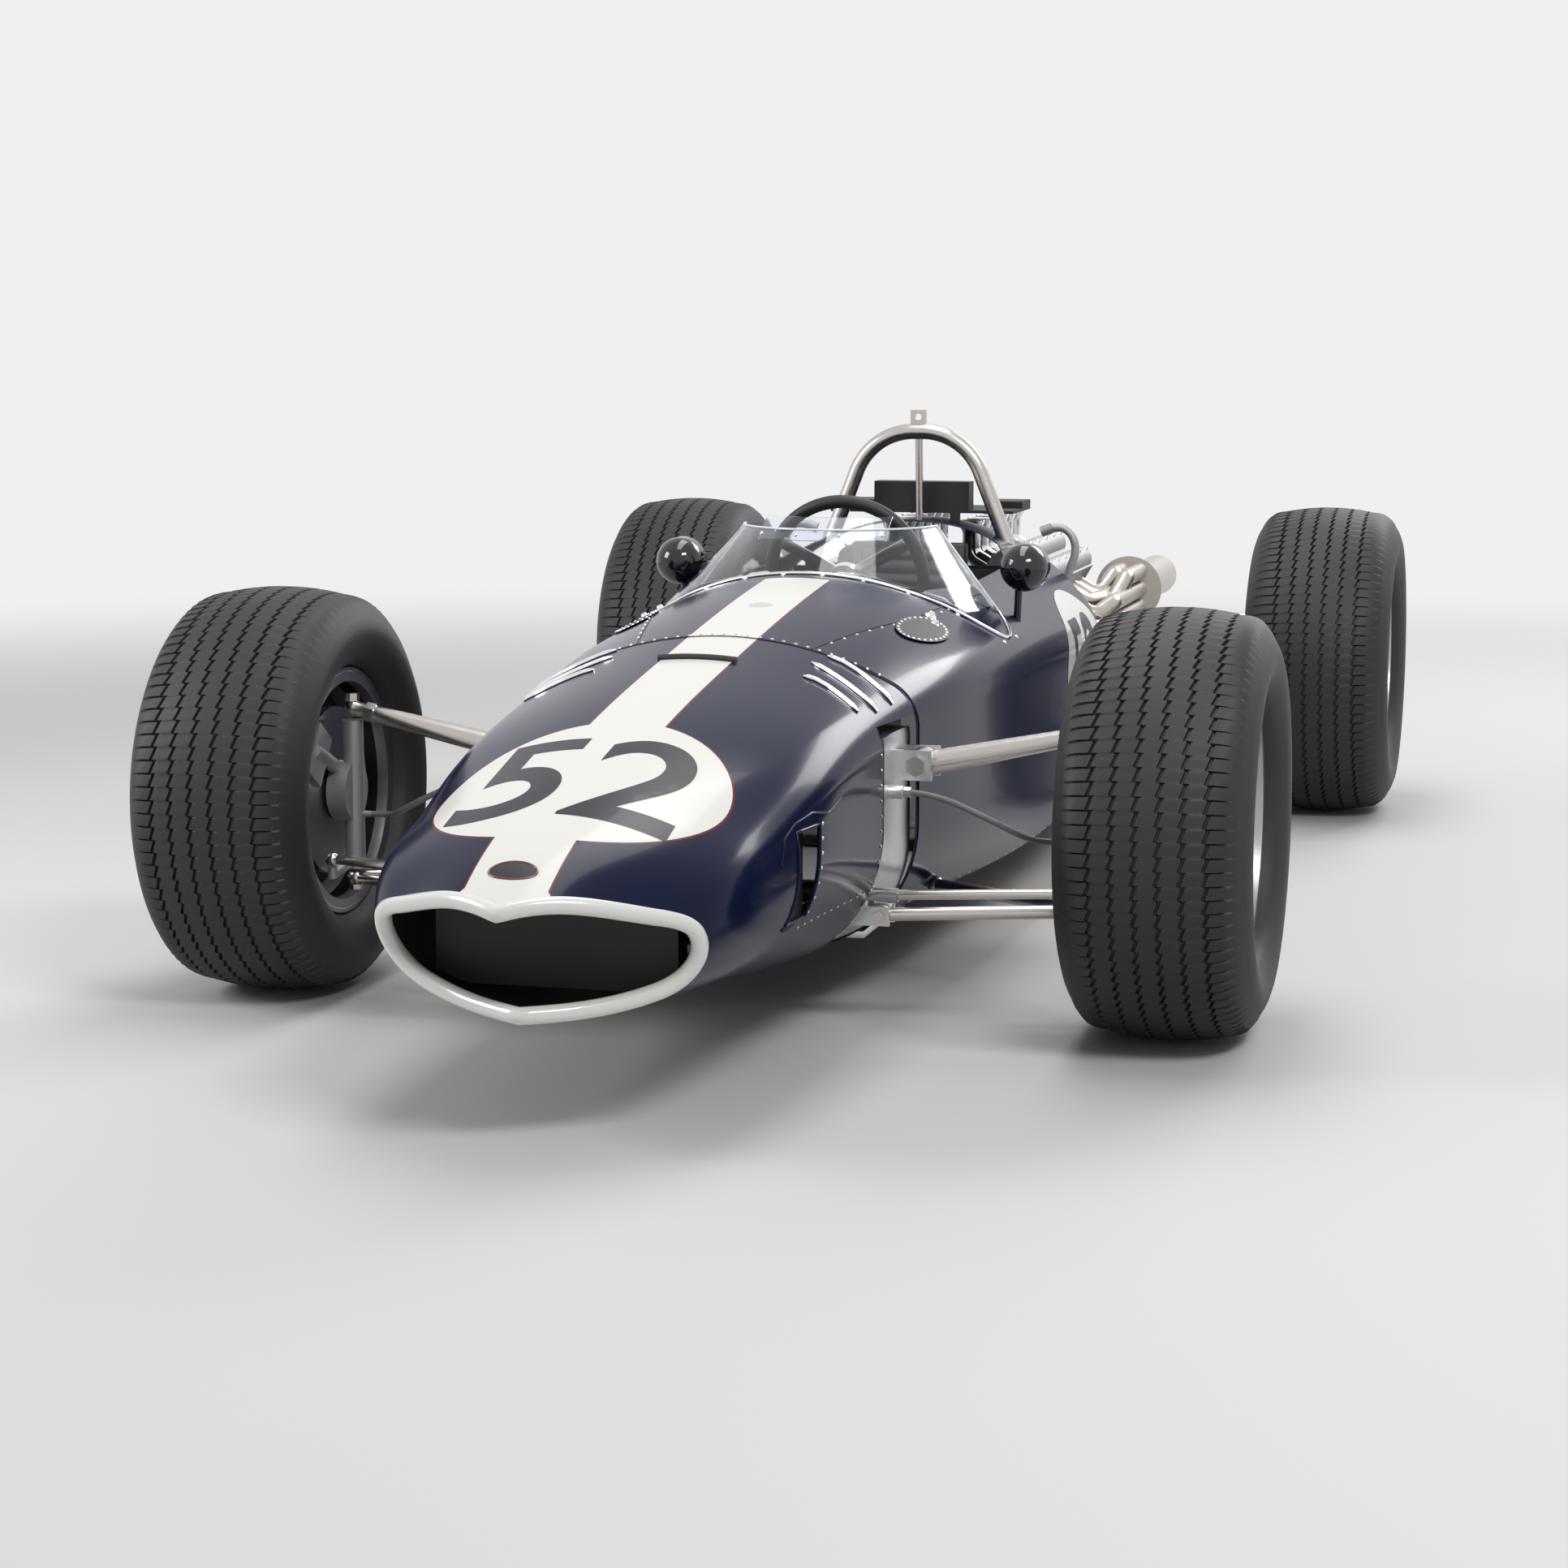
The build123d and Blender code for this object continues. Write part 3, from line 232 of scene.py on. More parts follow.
def halve(low, high, test, times=22):
    """The place between two bounds where a test stops being true."""
    for _ in range(times):
        middle = (low + high) / 2
        if test(middle):
            low = middle
        else:
            high = middle
    return (low + high) / 2


def top_point(x, station, lift=0.0):
    """The hull's upper surface at a distance from the centre line."""
    t = halve(0.0, SHARES[2], lambda share: hull_xz(share, station)[0] < abs(x))
    point = hull_point(t, station, lift)
    if x < 0:
        point.x = -point.x
    return point


def side_point(side, station, z, lift=0.0):
    """The hull's flank at a height."""
    t = halve(0.15, 0.9, lambda share: hull_xz(share, station)[1] > z)
    point = hull_point(t, station, lift)
    point.x *= side
    return point


def add(name, data):
    """A new object of some data, in the scene."""
    obj = bpy.data.objects.new(name, data)
    bpy.context.scene.collection.objects.link(obj)
    return obj


def shade_smooth(mesh):
    mesh.polygons.foreach_set("use_smooth", [True] * len(mesh.polygons))


def link(name, bm, finishes, body="chassis", smooth=True, angle=35.0, ride=True):
    """Makes a finished object of a bmesh; it rides on the body."""
    bmesh.ops.remove_doubles(bm, verts=bm.verts, dist=1e-6)
    mesh = bpy.data.meshes.new(name)
    bm.to_mesh(mesh)
    bm.free()
    obj = add(name, mesh)
    for finish in [finishes] if isinstance(finishes, str) else finishes:
        mesh.materials.append(materials[finish])
    if smooth:
        shade_smooth(mesh)
        mesh.set_sharp_from_angle(angle=math.radians(angle))
    if ride:
        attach(obj, body)
    return obj


def solidify(obj, thickness, inner=0):
    """Gives a sheet its thickness in millimetres, inwards, with a finish of its own for the inside."""
    modifier = obj.modifiers.new("Wall", "SOLIDIFY")
    modifier.thickness = thickness * MM
    modifier.offset = -1.0
    modifier.material_offset = inner
    modifier.material_offset_rim = inner


def mirror_sides(bm):
    """Adds the other side of the car across the centre plane."""
    bmesh.ops.mirror(bm, geom=bm.verts[:] + bm.edges[:] + bm.faces[:], matrix=Matrix.Identity(4),
                     merge_dist=2e-5, axis="X")
    bmesh.ops.recalc_face_normals(bm, faces=bm.faces)


def faces_out(bm, centre):
    """Turns an open sheet's faces away from a point if most of them look at it."""
    votes = sum(1 if f.normal.dot(f.calc_center_median() - centre) > 0 else -1 for f in bm.faces)
    if votes < 0:
        bmesh.ops.reverse_faces(bm, faces=bm.faces)


def turns(count):
    """Even angles round one turn."""
    return [math.tau * i / count for i in range(count)]


def bend(a, b, c, f):
    """A point at a share f of the curve that runs from a to c and leans on b."""
    return (1 - f) ** 2 * a + 2 * f * (1 - f) * b + f * f * c


def bar(bm, start, end, radius, end_radius=None, segments=28):
    """A round bar between two points."""
    start, end = Vector(start), Vector(end)
    axis = end - start
    turn = axis.to_track_quat("Z", "Y").to_matrix().to_4x4()
    matrix = Matrix.Translation((start + end) / 2) @ turn
    bmesh.ops.create_cone(bm, cap_ends=True, segments=segments, radius1=radius * MM,
                          radius2=(end_radius or radius) * MM, depth=axis.length, matrix=matrix)


def box(bm, low, high, bevel):
    """A box between two corners with its edges eased."""
    low, high = Vector(low), Vector(high)
    matrix = Matrix.Translation((low + high) / 2) @ Matrix.Diagonal((*(high - low), 1.0))
    made = bmesh.ops.create_cube(bm, size=1.0, matrix=matrix)
    edges = list({e for v in made["verts"] for e in v.link_edges})
    bmesh.ops.bevel(bm, geom=edges, offset=bevel * MM, segments=2, profile=0.5, affect="EDGES", material=-1)


def slab(bm, xs, stations, heights, bevel):
    """A box between two distances from the centre line, two stations and two heights, in millimetres."""
    box(bm, at(min(xs), stations[0], heights[0]), at(max(xs), stations[1], heights[1]), bevel)


def sweep(bm, path, radius, segments=16, closed=False):
    """A round tube along a path, extruded ring by ring, with its ends joined if closed and capped if not."""
    points = [Vector(p) for p in path]
    count = len(points)
    tangents = []
    for i in range(count):
        before = points[(i - 1) % count] if closed or i else points[0]
        after = points[(i + 1) % count] if closed or i < count - 1 else points[-1]
        tangents.append((after - before).normalized())
    radii = radius if isinstance(radius, (list, tuple)) else [radius] * count
    turn = tangents[0].to_track_quat("Z", "Y")
    ring = bmesh.ops.create_circle(bm, segments=segments, radius=1.0)["verts"]
    first = ring
    previous = Matrix.Identity(4)
    for i in range(count):
        if i:
            turn = tangents[i - 1].rotation_difference(tangents[i]) @ turn
            edges = [e for e in {e for v in ring for e in v.link_edges} if all(v in ring for v in e.verts)]
            made = bmesh.ops.extrude_edge_only(bm, edges=edges)
            ring = [g for g in made["geom"] if isinstance(g, bmesh.types.BMVert)]
        matrix = Matrix.LocRotScale(points[i], turn, Vector((radii[i] * MM,) * 3))
        bmesh.ops.transform(bm, matrix=matrix @ previous.inverted(), verts=ring)
        previous = matrix
    if closed:
        bmesh.ops.bridge_loops(bm, edges=[e for e in bm.edges if len(e.link_faces) < 2])
        bmesh.ops.recalc_face_normals(bm, faces=bm.faces)
        return
    for verts in (first, ring):
        bmesh.ops.contextual_create(bm, geom=verts)


def spin_section(bm, section, centre, steps):
    """Turns a closed section of (along, radius) pairs in millimetres about a wheel's axle."""
    verts = [bm.verts.new(centre + Vector((a * MM, 0.0, r * MM))) for a, r in section]
    edges = [bm.edges.new((verts[i - 1], verts[i])) for i in range(len(verts))]
    bmesh.ops.spin(bm, geom=verts + edges, cent=centre, axis=(1, 0, 0), steps=steps, angle=math.tau, use_merge=True)


def disc(bm, segments):
    """Adds a flat unit disc with rings of faces inside its edge, and returns its vertices."""
    old = set(bm.verts)
    bmesh.ops.create_circle(bm, cap_ends=True, segments=segments, radius=1.0)
    for _ in range(3):
        middle = [f for f in bm.faces if len(f.verts) == segments and not old.intersection(f.verts)]
        bmesh.ops.inset_individual(bm, faces=middle, thickness=0.22)
    return [v for v in bm.verts if v not in old]


def domes(bm, places, radius, height, segments=8):
    """Small round heads, each at a (point, normal)."""
    for point, normal in places:
        turn = Vector(normal).to_track_quat("Z", "Y").to_matrix().to_4x4()
        matrix = Matrix.Translation(Vector(point)) @ turn @ Matrix.Translation((0, 0, height * MM / 2))
        bmesh.ops.create_cone(bm, cap_ends=True, segments=segments, radius1=radius * MM,
                              radius2=radius * 0.55 * MM, depth=height * MM, matrix=matrix)


# Materials


def principled(name, colour, roughness, metallic=0.0, coat=0.0, **sockets):
    """A material with a plain Principled shader."""
    material = bpy.data.materials.new(name)
    material.use_nodes = True
    shader = material.node_tree.nodes["Principled BSDF"]
    shader.inputs["Base Color"].default_value = (*colour, 1.0)
    shader.inputs["Roughness"].default_value = roughness
    shader.inputs["Metallic"].default_value = metallic
    shader.inputs["Coat Weight"].default_value = coat
    shader.inputs["Coat Roughness"].default_value = 0.03
    for socket, value in sockets.items():
        shader.inputs[socket.replace("_", " ")].default_value = value
    return material


def math_node(tree, operation, first, second=None):
    """The output of a math node fed by numbers or sockets."""
    node = tree.nodes.new("ShaderNodeMath")
    node.operation = operation
    for socket, value in zip(node.inputs, (first, second)):
        if value is None:
            continue
        if isinstance(value, (int, float)):
            socket.default_value = value
        else:
            tree.links.new(value, socket)
    return node.outputs[0]


def surface_grain():
    """The shared effect: fine uneven roughness and bump from noise in object space."""
    if "Surface grain" in bpy.data.node_groups:
        return bpy.data.node_groups["Surface grain"]
    group = bpy.data.node_groups.new("Surface grain", "ShaderNodeTree")
    for name, default in (("Scale", 60.0), ("Low", 0.2), ("High", 0.4), ("Bump", 0.1)):
        socket = group.interface.new_socket(name, in_out="INPUT", socket_type="NodeSocketFloat")
        socket.default_value = default
    group.interface.new_socket("Roughness", in_out="OUTPUT", socket_type="NodeSocketFloat")
    group.interface.new_socket("Normal", in_out="OUTPUT", socket_type="NodeSocketVector")
    enter, leave = group.nodes.new("NodeGroupInput"), group.nodes.new("NodeGroupOutput")
    place = group.nodes.new("ShaderNodeTexCoord")
    noise = group.nodes.new("ShaderNodeTexNoise")
    noise.inputs["Detail"].default_value = 6.0
    ramp = group.nodes.new("ShaderNodeMapRange")
    bump = group.nodes.new("ShaderNodeBump")
    bump.inputs["Distance"].default_value = 0.0006
    for source, target in ((place.outputs["Object"], noise.inputs["Vector"]),
                           (enter.outputs["Scale"], noise.inputs["Scale"]),
                           (noise.outputs["Fac"], ramp.inputs["Value"]),
                           (enter.outputs["Low"], ramp.inputs["To Min"]),
                           (enter.outputs["High"], ramp.inputs["To Max"]),
                           (noise.outputs["Fac"], bump.inputs["Height"]),
                           (enter.outputs["Bump"], bump.inputs["Strength"]),
                           (ramp.outputs["Result"], leave.inputs["Roughness"]),
                           (bump.outputs["Normal"], leave.inputs["Normal"])):
        group.links.new(source, target)
    return group


def grained(material, scale, low, high, bump=0.1):
    """Gives a material the shared grain with its own values."""
    tree = material.node_tree
    node = tree.nodes.new("ShaderNodeGroup")
    node.node_tree = surface_grain()
    for name, value in (("Scale", scale), ("Low", low), ("High", high), ("Bump", bump)):
        node.inputs[name].default_value = value
    shader = tree.nodes["Principled BSDF"]
    tree.links.new(node.outputs["Roughness"], shader.inputs["Roughness"])
    tree.links.new(node.outputs["Normal"], shader.inputs["Normal"])
    return material


def object_axes(tree):
    """The x, y and z of the object coordinates."""
    place = tree.nodes.new("ShaderNodeTexCoord")
    split = tree.nodes.new("ShaderNodeSeparateXYZ")
    tree.links.new(place.outputs["Object"], split.inputs[0])
    return [split.outputs[axis] for axis in "XYZ"]


def mixed(tree, factor, first, second):
    """A colour between two others by a mask; the first is a colour or a socket."""
    mix = tree.nodes.new("ShaderNodeMix")
    mix.data_type = "RGBA"
    if isinstance(first, tuple):
        mix.inputs["A"].default_value = first
    else:
        tree.links.new(first, mix.inputs["A"])
    mix.inputs["B"].default_value = second
    tree.links.new(factor, mix.inputs["Factor"])
    return mix.outputs["Result"]


def gloss_paint(name, colours):
    """The body's plain paint."""
    return principled(name, colours.paint, 0.18, coat=0.08, Specular_IOR_Level=0.11)


def striped_paint(name, colours):
    """Gloss paint, with the centre stripe and the nose roundel masked in object space."""
    material = gloss_paint(name, colours)
    tree = material.node_tree
    x, y, z = object_axes(tree)
    above = math_node(tree, "GREATER_THAN", z, STRIPE_LOW)
    before = math_node(tree, "LESS_THAN", y, front_axle + STRIPE_END * MM)
    off_centre = math_node(tree, "ABSOLUTE", x)
    ahead = math_node(tree, "SUBTRACT", front_axle + FLARE[0] * MM, y)
    flare = math_node(tree, "MULTIPLY", math_node(tree, "MAXIMUM", ahead, 0.0), FLARE[1])
    station, half_length, half_width = ROUNDEL
    u = math_node(tree, "DIVIDE", x, half_width * MM)
    v = math_node(tree, "DIVIDE", math_node(tree, "SUBTRACT", y, front_axle + station * MM), half_length * MM)
    far = math_node(tree, "ADD", math_node(tree, "MULTIPLY", u, u), math_node(tree, "MULTIPLY", v, v))

    def masked(half, limit):
        """The stripe up to a half width, joined with the roundel up to a squared distance."""
        edge = math_node(tree, "ADD", flare, half * MM)
        narrow = math_node(tree, "MULTIPLY", math_node(tree, "LESS_THAN", off_centre, edge), before)
        oval = math_node(tree, "LESS_THAN", far, limit)
        return math_node(tree, "MULTIPLY", math_node(tree, "MAXIMUM", narrow, oval), above)

    outlined = masked(STRIPE_HALF + OUTLINE, 1.0 + 2.0 * OUTLINE / half_width)
    colour = mixed(tree, outlined, (*colours.paint, 1.0), (*colours.outline, 1.0))
    colour = mixed(tree, masked(STRIPE_HALF, 1.0), colour, (*colours.stripe, 1.0))
    tree.links.new(colour, tree.nodes["Principled BSDF"].inputs["Base Color"])
    return material


def alloy_with_painted_barrel_shade():
    """Satin alloy outside, with painted shade: near black inside the barrel on the car's side."""
    alloy = (0.5, 0.5, 0.51)
    material = grained(principled("Satin wheel alloy with painted barrel shade", alloy, 0.32, 1.0), 70.0, 0.26, 0.42, 0.05)
    tree = material.node_tree
    across = math_node(tree, "ABSOLUTE", object_axes(tree)[0])
    inside = math_node(tree, "MULTIPLY", math_node(tree, "GREATER_THAN", across, BARREL_SHADE[0]),
                       math_node(tree, "LESS_THAN", across, BARREL_SHADE[1]))
    # painted shade: the barrel's inside is coloured near black to stand in for its shadow
    colour = mixed(tree, inside, (*alloy, 1.0), (0.045, 0.045, 0.048, 1.0))
    tree.links.new(colour, tree.nodes["Principled BSDF"].inputs["Base Color"])
    return material


def seen(tree, shown, hidden):
    """One value where the camera, a reflection or glass looks, and another for the light that falls."""
    path = tree.nodes.new("ShaderNodeLightPath")
    looks = path.outputs["Is Camera Ray"]
    for ray in ("Is Glossy Ray", "Is Transmission Ray"):
        looks = math_node(tree, "MAXIMUM", looks, path.outputs[ray])
    return math_node(tree, "ADD", math_node(tree, "MULTIPLY", looks, shown - hidden), hidden)


def pale_floor():
    """A pale floor that keeps the car's shadow and fades into the background further off."""
    material = principled("Pale floor", (0.62, 0.62, 0.62), 0.7)
    tree = material.node_tree
    place = tree.nodes.new("ShaderNodeTexCoord")
    length = tree.nodes.new("ShaderNodeVectorMath")
    length.operation = "LENGTH"
    tree.links.new(place.outputs["Object"], length.inputs[0])
    fade = tree.nodes.new("ShaderNodeMapRange")
    fade.interpolation_type = "SMOOTHSTEP"
    fade.inputs["From Min"].default_value, fade.inputs["From Max"].default_value = FLOOR_FADE
    tree.links.new(length.outputs["Value"], fade.inputs["Value"])
    glow = tree.nodes.new("ShaderNodeEmission")
    glow.inputs["Color"].default_value = BACKDROP
    glow.inputs["Strength"].default_value = 1.0
    mix = tree.nodes.new("ShaderNodeMixShader")
    tree.links.new(math_node(tree, "MULTIPLY", fade.outputs["Result"], seen(tree, 1.0, 0.0)), mix.inputs[0])
    tree.links.new(tree.nodes["Principled BSDF"].outputs[0], mix.inputs[1])
    tree.links.new(glow.outputs[0], mix.inputs[2])
    tree.links.new(mix.outputs[0], tree.nodes["Material Output"].inputs["Surface"])
    return material


def make_materials(colours):
    """Every finish of the car, by name."""
    return {
        "paint": gloss_paint("Navy paint", colours),
        "striped": striped_paint("Navy paint with stripe", colours),
        "red": principled("Dark red line", colours.outline, 0.3, coat=0.8),
        "edge": principled("Polished screen edge", (0.72, 0.8, 0.86), 0.18, coat=0.5),
        "gloss": principled("Black gloss", (0.006, 0.006, 0.008), 0.08, coat=0.4),
        "rim": alloy_with_painted_barrel_shade(),
        "white": principled("White enamel", colours.stripe, 0.25, coat=0.8),
        "figures": principled("Black figures", colours.figures, 0.3, coat=0.1, Specular_IOR_Level=0.2),
        "black": principled("Matt black", (0.008, 0.008, 0.009), 0.6),
        "core": principled("Radiator core", (0.015, 0.015, 0.016), 0.55),
        "sheet": grained(principled("Bare sheet", (0.6, 0.6, 0.61), 0.3, 1.0), 90.0, 0.22, 0.42, 0.05),
        "nickel": grained(principled("Satin nickel", (0.56, 0.53, 0.5), 0.25, 1.0), 45.0, 0.16, 0.3, 0.03),
        "bright": principled("Polished alloy", (0.86, 0.86, 0.87), 0.12, 1.0),
        "cast": grained(principled("Cast alloy", (0.36, 0.36, 0.37), 0.5, 0.85), 260.0, 0.46, 0.66, 0.35),
        "steel": grained(principled("Machined steel", (0.4, 0.4, 0.41), 0.3, 1.0), 80.0, 0.25, 0.4, 0.05),
        "pipe": grained(principled("Exhaust steel", (0.5, 0.46, 0.42), 0.3, 1.0), 30.0, 0.2, 0.42, 0.05),
        "rubber": grained(principled("Tyre rubber", (0.018, 0.018, 0.019), 0.6), 320.0, 0.5, 0.68, 0.25),
        "hose": principled("Grey hose", (0.16, 0.16, 0.165), 0.45),
        "leather": grained(principled("Black leather", (0.016, 0.015, 0.015), 0.5), 420.0, 0.42, 0.6, 0.6),
        "mirror": principled("Mirror glass", (0.9, 0.9, 0.92), 0.02, 1.0),
        "screen": principled("Clear screen", (0.93, 0.96, 1.0), 0.03, Transmission_Weight=1.0, IOR=1.3),
        "floor": pale_floor(),
    }


def dress(node, finish):
    """Gives a CAD node its finish and smooth shading with crisp edges, by modifiers alone."""
    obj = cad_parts[node]
    obj.data.materials.clear()
    obj.data.materials.append(materials[finish])
    shade_smooth(obj.data)
    weld = obj.modifiers.new("Weld", "WELD")
    weld.merge_threshold = 1e-5
    split = obj.modifiers.new("Crisp edges", "EDGE_SPLIT")
    split.split_angle = math.radians(32.0)


# The body


def hull_grid(bm, front, rear, rows, columns):
    """Half of the hull between two stations as a grid of quads."""
    made = bmesh.ops.create_grid(bm, x_segments=columns, y_segments=rows, size=1.0)
    for vert in made["verts"]:
        vert.co = hull_point((vert.co.x + 1.0) / 2.0, front + (rear - front) * (vert.co.y + 1.0) / 2.0)


def cut(bm, point, normal, faces=None, drop=False):
    """Cuts some faces or all by a plane, and drops what lies behind it where asked."""
    faces = bm.faces[:] if faces is None else faces
    geom = list({g for f in faces for g in (*f.verts, *f.edges, f)})
    bmesh.ops.bisect_plane(bm, geom=geom, plane_co=point, plane_no=normal, clear_inner=drop, dist=1e-7)


def remove_where(bm, test):
    """Deletes the faces whose middle passes the test."""
    faces = [f for f in bm.faces if test(f.calc_center_median())]
    bmesh.ops.delete(bm, geom=faces, context="FACES")


def station_of(point):
    """A point's station in millimetres."""
    return (point.y - front_axle) / MM


def cut_window(bm, front, rear, low, high, margin=40.0):
    """Removes a window of a half skin between two stations and two heights, with straight edges."""
    for station in (front, rear):
        near = [f for f in bm.faces if low - margin < f.calc_center_median().z / MM < high + margin]
        cut(bm, at(0, station, 0), (0, 1, 0), near)
    for z in (low, high):
        near = [f for f in bm.faces if front - margin < station_of(f.calc_center_median()) < rear + margin]
        cut(bm, at(0, 0, z), (0, 0, 1), near)
    remove_where(bm, lambda p: front < station_of(p) < rear and low * MM < p.z < high * MM)


def rounded_outline(corners, radius, steps=6):
    """A closed outline with rounded corners, from (x, station) corners."""
    points = []
    count = len(corners)
    for i, corner in enumerate(corners):
        here = Vector(corner)
        to_before = Vector(corners[i - 1]) - here
        to_after = Vector(corners[(i + 1) % count]) - here
        half_angle = to_before.angle(to_after) / 2
        reach = min(radius / math.tan(half_angle), to_before.length * 0.45, to_after.length * 0.45)
        start, end = here + to_before.normalized() * reach, here + to_after.normalized() * reach
        for k in range(steps + 1):
            points.append(bend(start, here, end, k / steps))
    return points


def cut_opening(bm, outline, low):
    """Cuts a convex plan outline out of the faces above a height, on the +X half."""
    centre = sum(outline, Vector((0.0, 0.0))) / len(outline)
    margin = 30.0
    wide = max(p.x for p in outline) + margin
    front, rear = min(p.y for p in outline) - margin, max(p.y for p in outline) + margin

    def near(p):
        return p.z / MM > low and p.x / MM < wide and front < station_of(p) < rear

    sides = []
    for a, b in zip(outline, outline[1:] + outline[:1]):
        edge = b - a
        if edge.length < 0.5 or (abs(a.x) < 1.0 and abs(b.x) < 1.0):
            continue
        normal = Vector((edge.y, -edge.x))
        if normal.dot(centre - a) > 0:
            normal = -normal
        sides.append((a, normal.normalized()))
    for a, normal in sides:
        cut(bm, at(a.x, a.y, 0), (normal.x, normal.y, 0), [f for f in bm.faces if near(f.calc_center_median())])

    def inside(p):
        flat = Vector((p.x / MM, station_of(p)))
        return p.z / MM > low and all((flat - a).dot(normal) < 0 for a, normal in sides)

    remove_where(bm, inside)


def mouth_station(t):
    """Station where the mouth's plane meets the hull at a share of the section."""
    def ahead(station):
        x, z = hull_xz(t, station)
        return station < MOUTH_TIP[0] + MOUTH_SWEEP * x + MOUTH_RAKE * (MOUTH_TIP[1] - z)

    return halve(NOSE_FRONT - 40.0, NOSE_FRONT + 400.0, ahead, 30)


def painted_skin(bm, name, middle, thickness):
    """Mirrors a half skin, and gives it paint outside and matt black inside."""
    mirror_sides(bm)
    faces_out(bm, middle)
    skin = link(name, bm, ("striped", "black"), angle=50.0)
    solidify(skin, thickness, inner=1)
    return skin


class CAR_OT_nose(bpy.types.Operator):
    """Builds the nose cowl's painted skin with its mouth, slot, ducts and cut away flanks"""

    bl_idname = "car.nose"
    bl_label = "Nose cowl"

    def execute(self, context):
        bm = bmesh.new()
        hull_grid(bm, NOSE_FRONT, COWL_REAR, 150, 110)
        cut(bm, at(0, *MOUTH_TIP), (-MOUTH_SWEEP, 1.0, MOUTH_RAKE), drop=True)
        cut_window(bm, COWL_FLANK_REAR, COWL_REAR + 5.0, -10.0, COWL_FLANK_TOP)
        for x, station, normal in ((0, SLOT_STATION - SLOT_WIDE, (0, 1, 0)), (0, SLOT_STATION + SLOT_WIDE, (0, 1, 0)),
                                   (SLOT_HALF, 0, (1, 0, 0))):
            near = [f for f in bm.faces if self.off_slot(f.calc_center_median()) < 30.0]
            cut(bm, at(x, station, 0), normal, near)
        upper = 0.4
        remove_where(bm, lambda p: self.off_slot(p) < SLOT_WIDE and p.x < SLOT_HALF * MM and p.z > upper)
        cut_window(bm, *DUCT)
        skin = painted_skin(bm, "nose_skin", at(0, -400, 330), 4.0)
        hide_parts("nose_cowl")
        return {"FINISHED"}

    def off_slot(self, point):
        """How far a point lies ahead of or behind the slot."""
        return abs(station_of(point) - SLOT_STATION)


class CAR_OT_lip(bpy.types.Operator):
    """Builds the white bead round the mouth"""

    bl_idname = "car.lip"
    bl_label = "Mouth lip"

    def execute(self, context):
        radius = context.scene.car_sizes.lip_radius / MM
        shares = [i / 80 for i in range(81)]
        path = [hull_point(t, mouth_station(t) + radius * 0.35, -radius * 0.86) for t in shares]
        whole = path + [Vector((-p.x, p.y, p.z)) for p in reversed(path[1:-1])]
        bm = bmesh.new()
        sweep(bm, whole, radius, segments=18, closed=True)
        link("mouth_lip", bm, "white", angle=80.0)
        return {"FINISHED"}


class CAR_OT_tub(bpy.types.Operator):
    """Builds the tub's painted skin, its inner walls, the floor and the decks"""

    bl_idname = "car.tub"
    bl_label = "Tub"

    # Inner walls on the +X side. Columns: inner and outer face, front and rear, bottom and top, bevel
    walls = (
        ((242.0, 250.0), (430.0, 1490.0), (130.0, 560.0), 1.5),
        ((205.0, 213.0), (52.0, 430.0), (130.0, 500.0), 1.5),
        ((BAY_HALF, BAY_HALF + 6.0), (1562.0, TUB_REAR - 2.0), (132.0, PONTOON_TOP), 1.0),
    )
    # Bulkheads. Columns: front, rear, bottom
    bulkheads = ((1490.0, 1500.0, 160.0), (DECK_REAR - 10.0, DECK_REAR - 4.0, PONTOON_TOP - 10.0))
    # Decks of a pontoon beside the engine. Columns: front, rear, outer edge
    decks = ((DECK_REAR - 2.0, 1800.0, 352.0), (1800.0, 2020.0, 336.0), (2020.0, TUB_REAR - 1.0, 306.0))

    def execute(self, context):
        bm = bmesh.new()
        hull_grid(bm, COWL_REAR + 0.8, TUB_REAR, 200, 96)
        top = [f for f in bm.faces if f.calc_center_median().z / MM > PONTOON_TOP - 60]
        cut(bm, at(0, DECK_REAR, 0), (0, 1, 0), top)
        rear = [f for f in bm.faces if station_of(f.calc_center_median()) > DECK_REAR]
        cut(bm, at(0, 0, PONTOON_TOP), (0, 0, 1), rear)
        remove_where(bm, lambda p: station_of(p) > DECK_REAR and p.z / MM > PONTOON_TOP)
        right = [(x, s) for s, x in OPENING]
        outline = rounded_outline(right + [(-x, s) for x, s in reversed(right)], 90.0)
        cut_opening(bm, outline, 480.0)
        skin = painted_skin(bm, "tub_skin", at(0, 1100, 380), 3.0)
        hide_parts("monocoque_tub", "scuttle_cowl")
        self.inner_walls()
        return {"FINISHED"}

    def inner_walls(self):
        """Side boxes, floor, bulkheads and decks inside the skin."""
        bm = bmesh.new()
        for side in (-1, 1):
            for (inner, outer), stations, heights, bevel in self.walls:
                slab(bm, (side * inner, side * outer), stations, heights, bevel)
        slab(bm, (-236.0, 236.0), (60.0, 2240.0), (118.0, 130.0), 1.0)
        link("tub_walls", bm, "sheet")
        bm = bmesh.new()
        for front, rear, low in self.bulkheads:
            slab(bm, (-314.0, 314.0), (front, rear), (low, 556.0), 1.0)
            slab(bm, (-258.0, 258.0), (front, rear), (550.0, 612.0), 1.0)
        for side in (-1, 1):
            for front, rear, outer in self.decks:
                slab(bm, (side * BAY_HALF, side * outer), (front, rear), (PONTOON_TOP - 7.0, PONTOON_TOP - 1.0), 0.8)
        link("tub_decks", bm, "black")


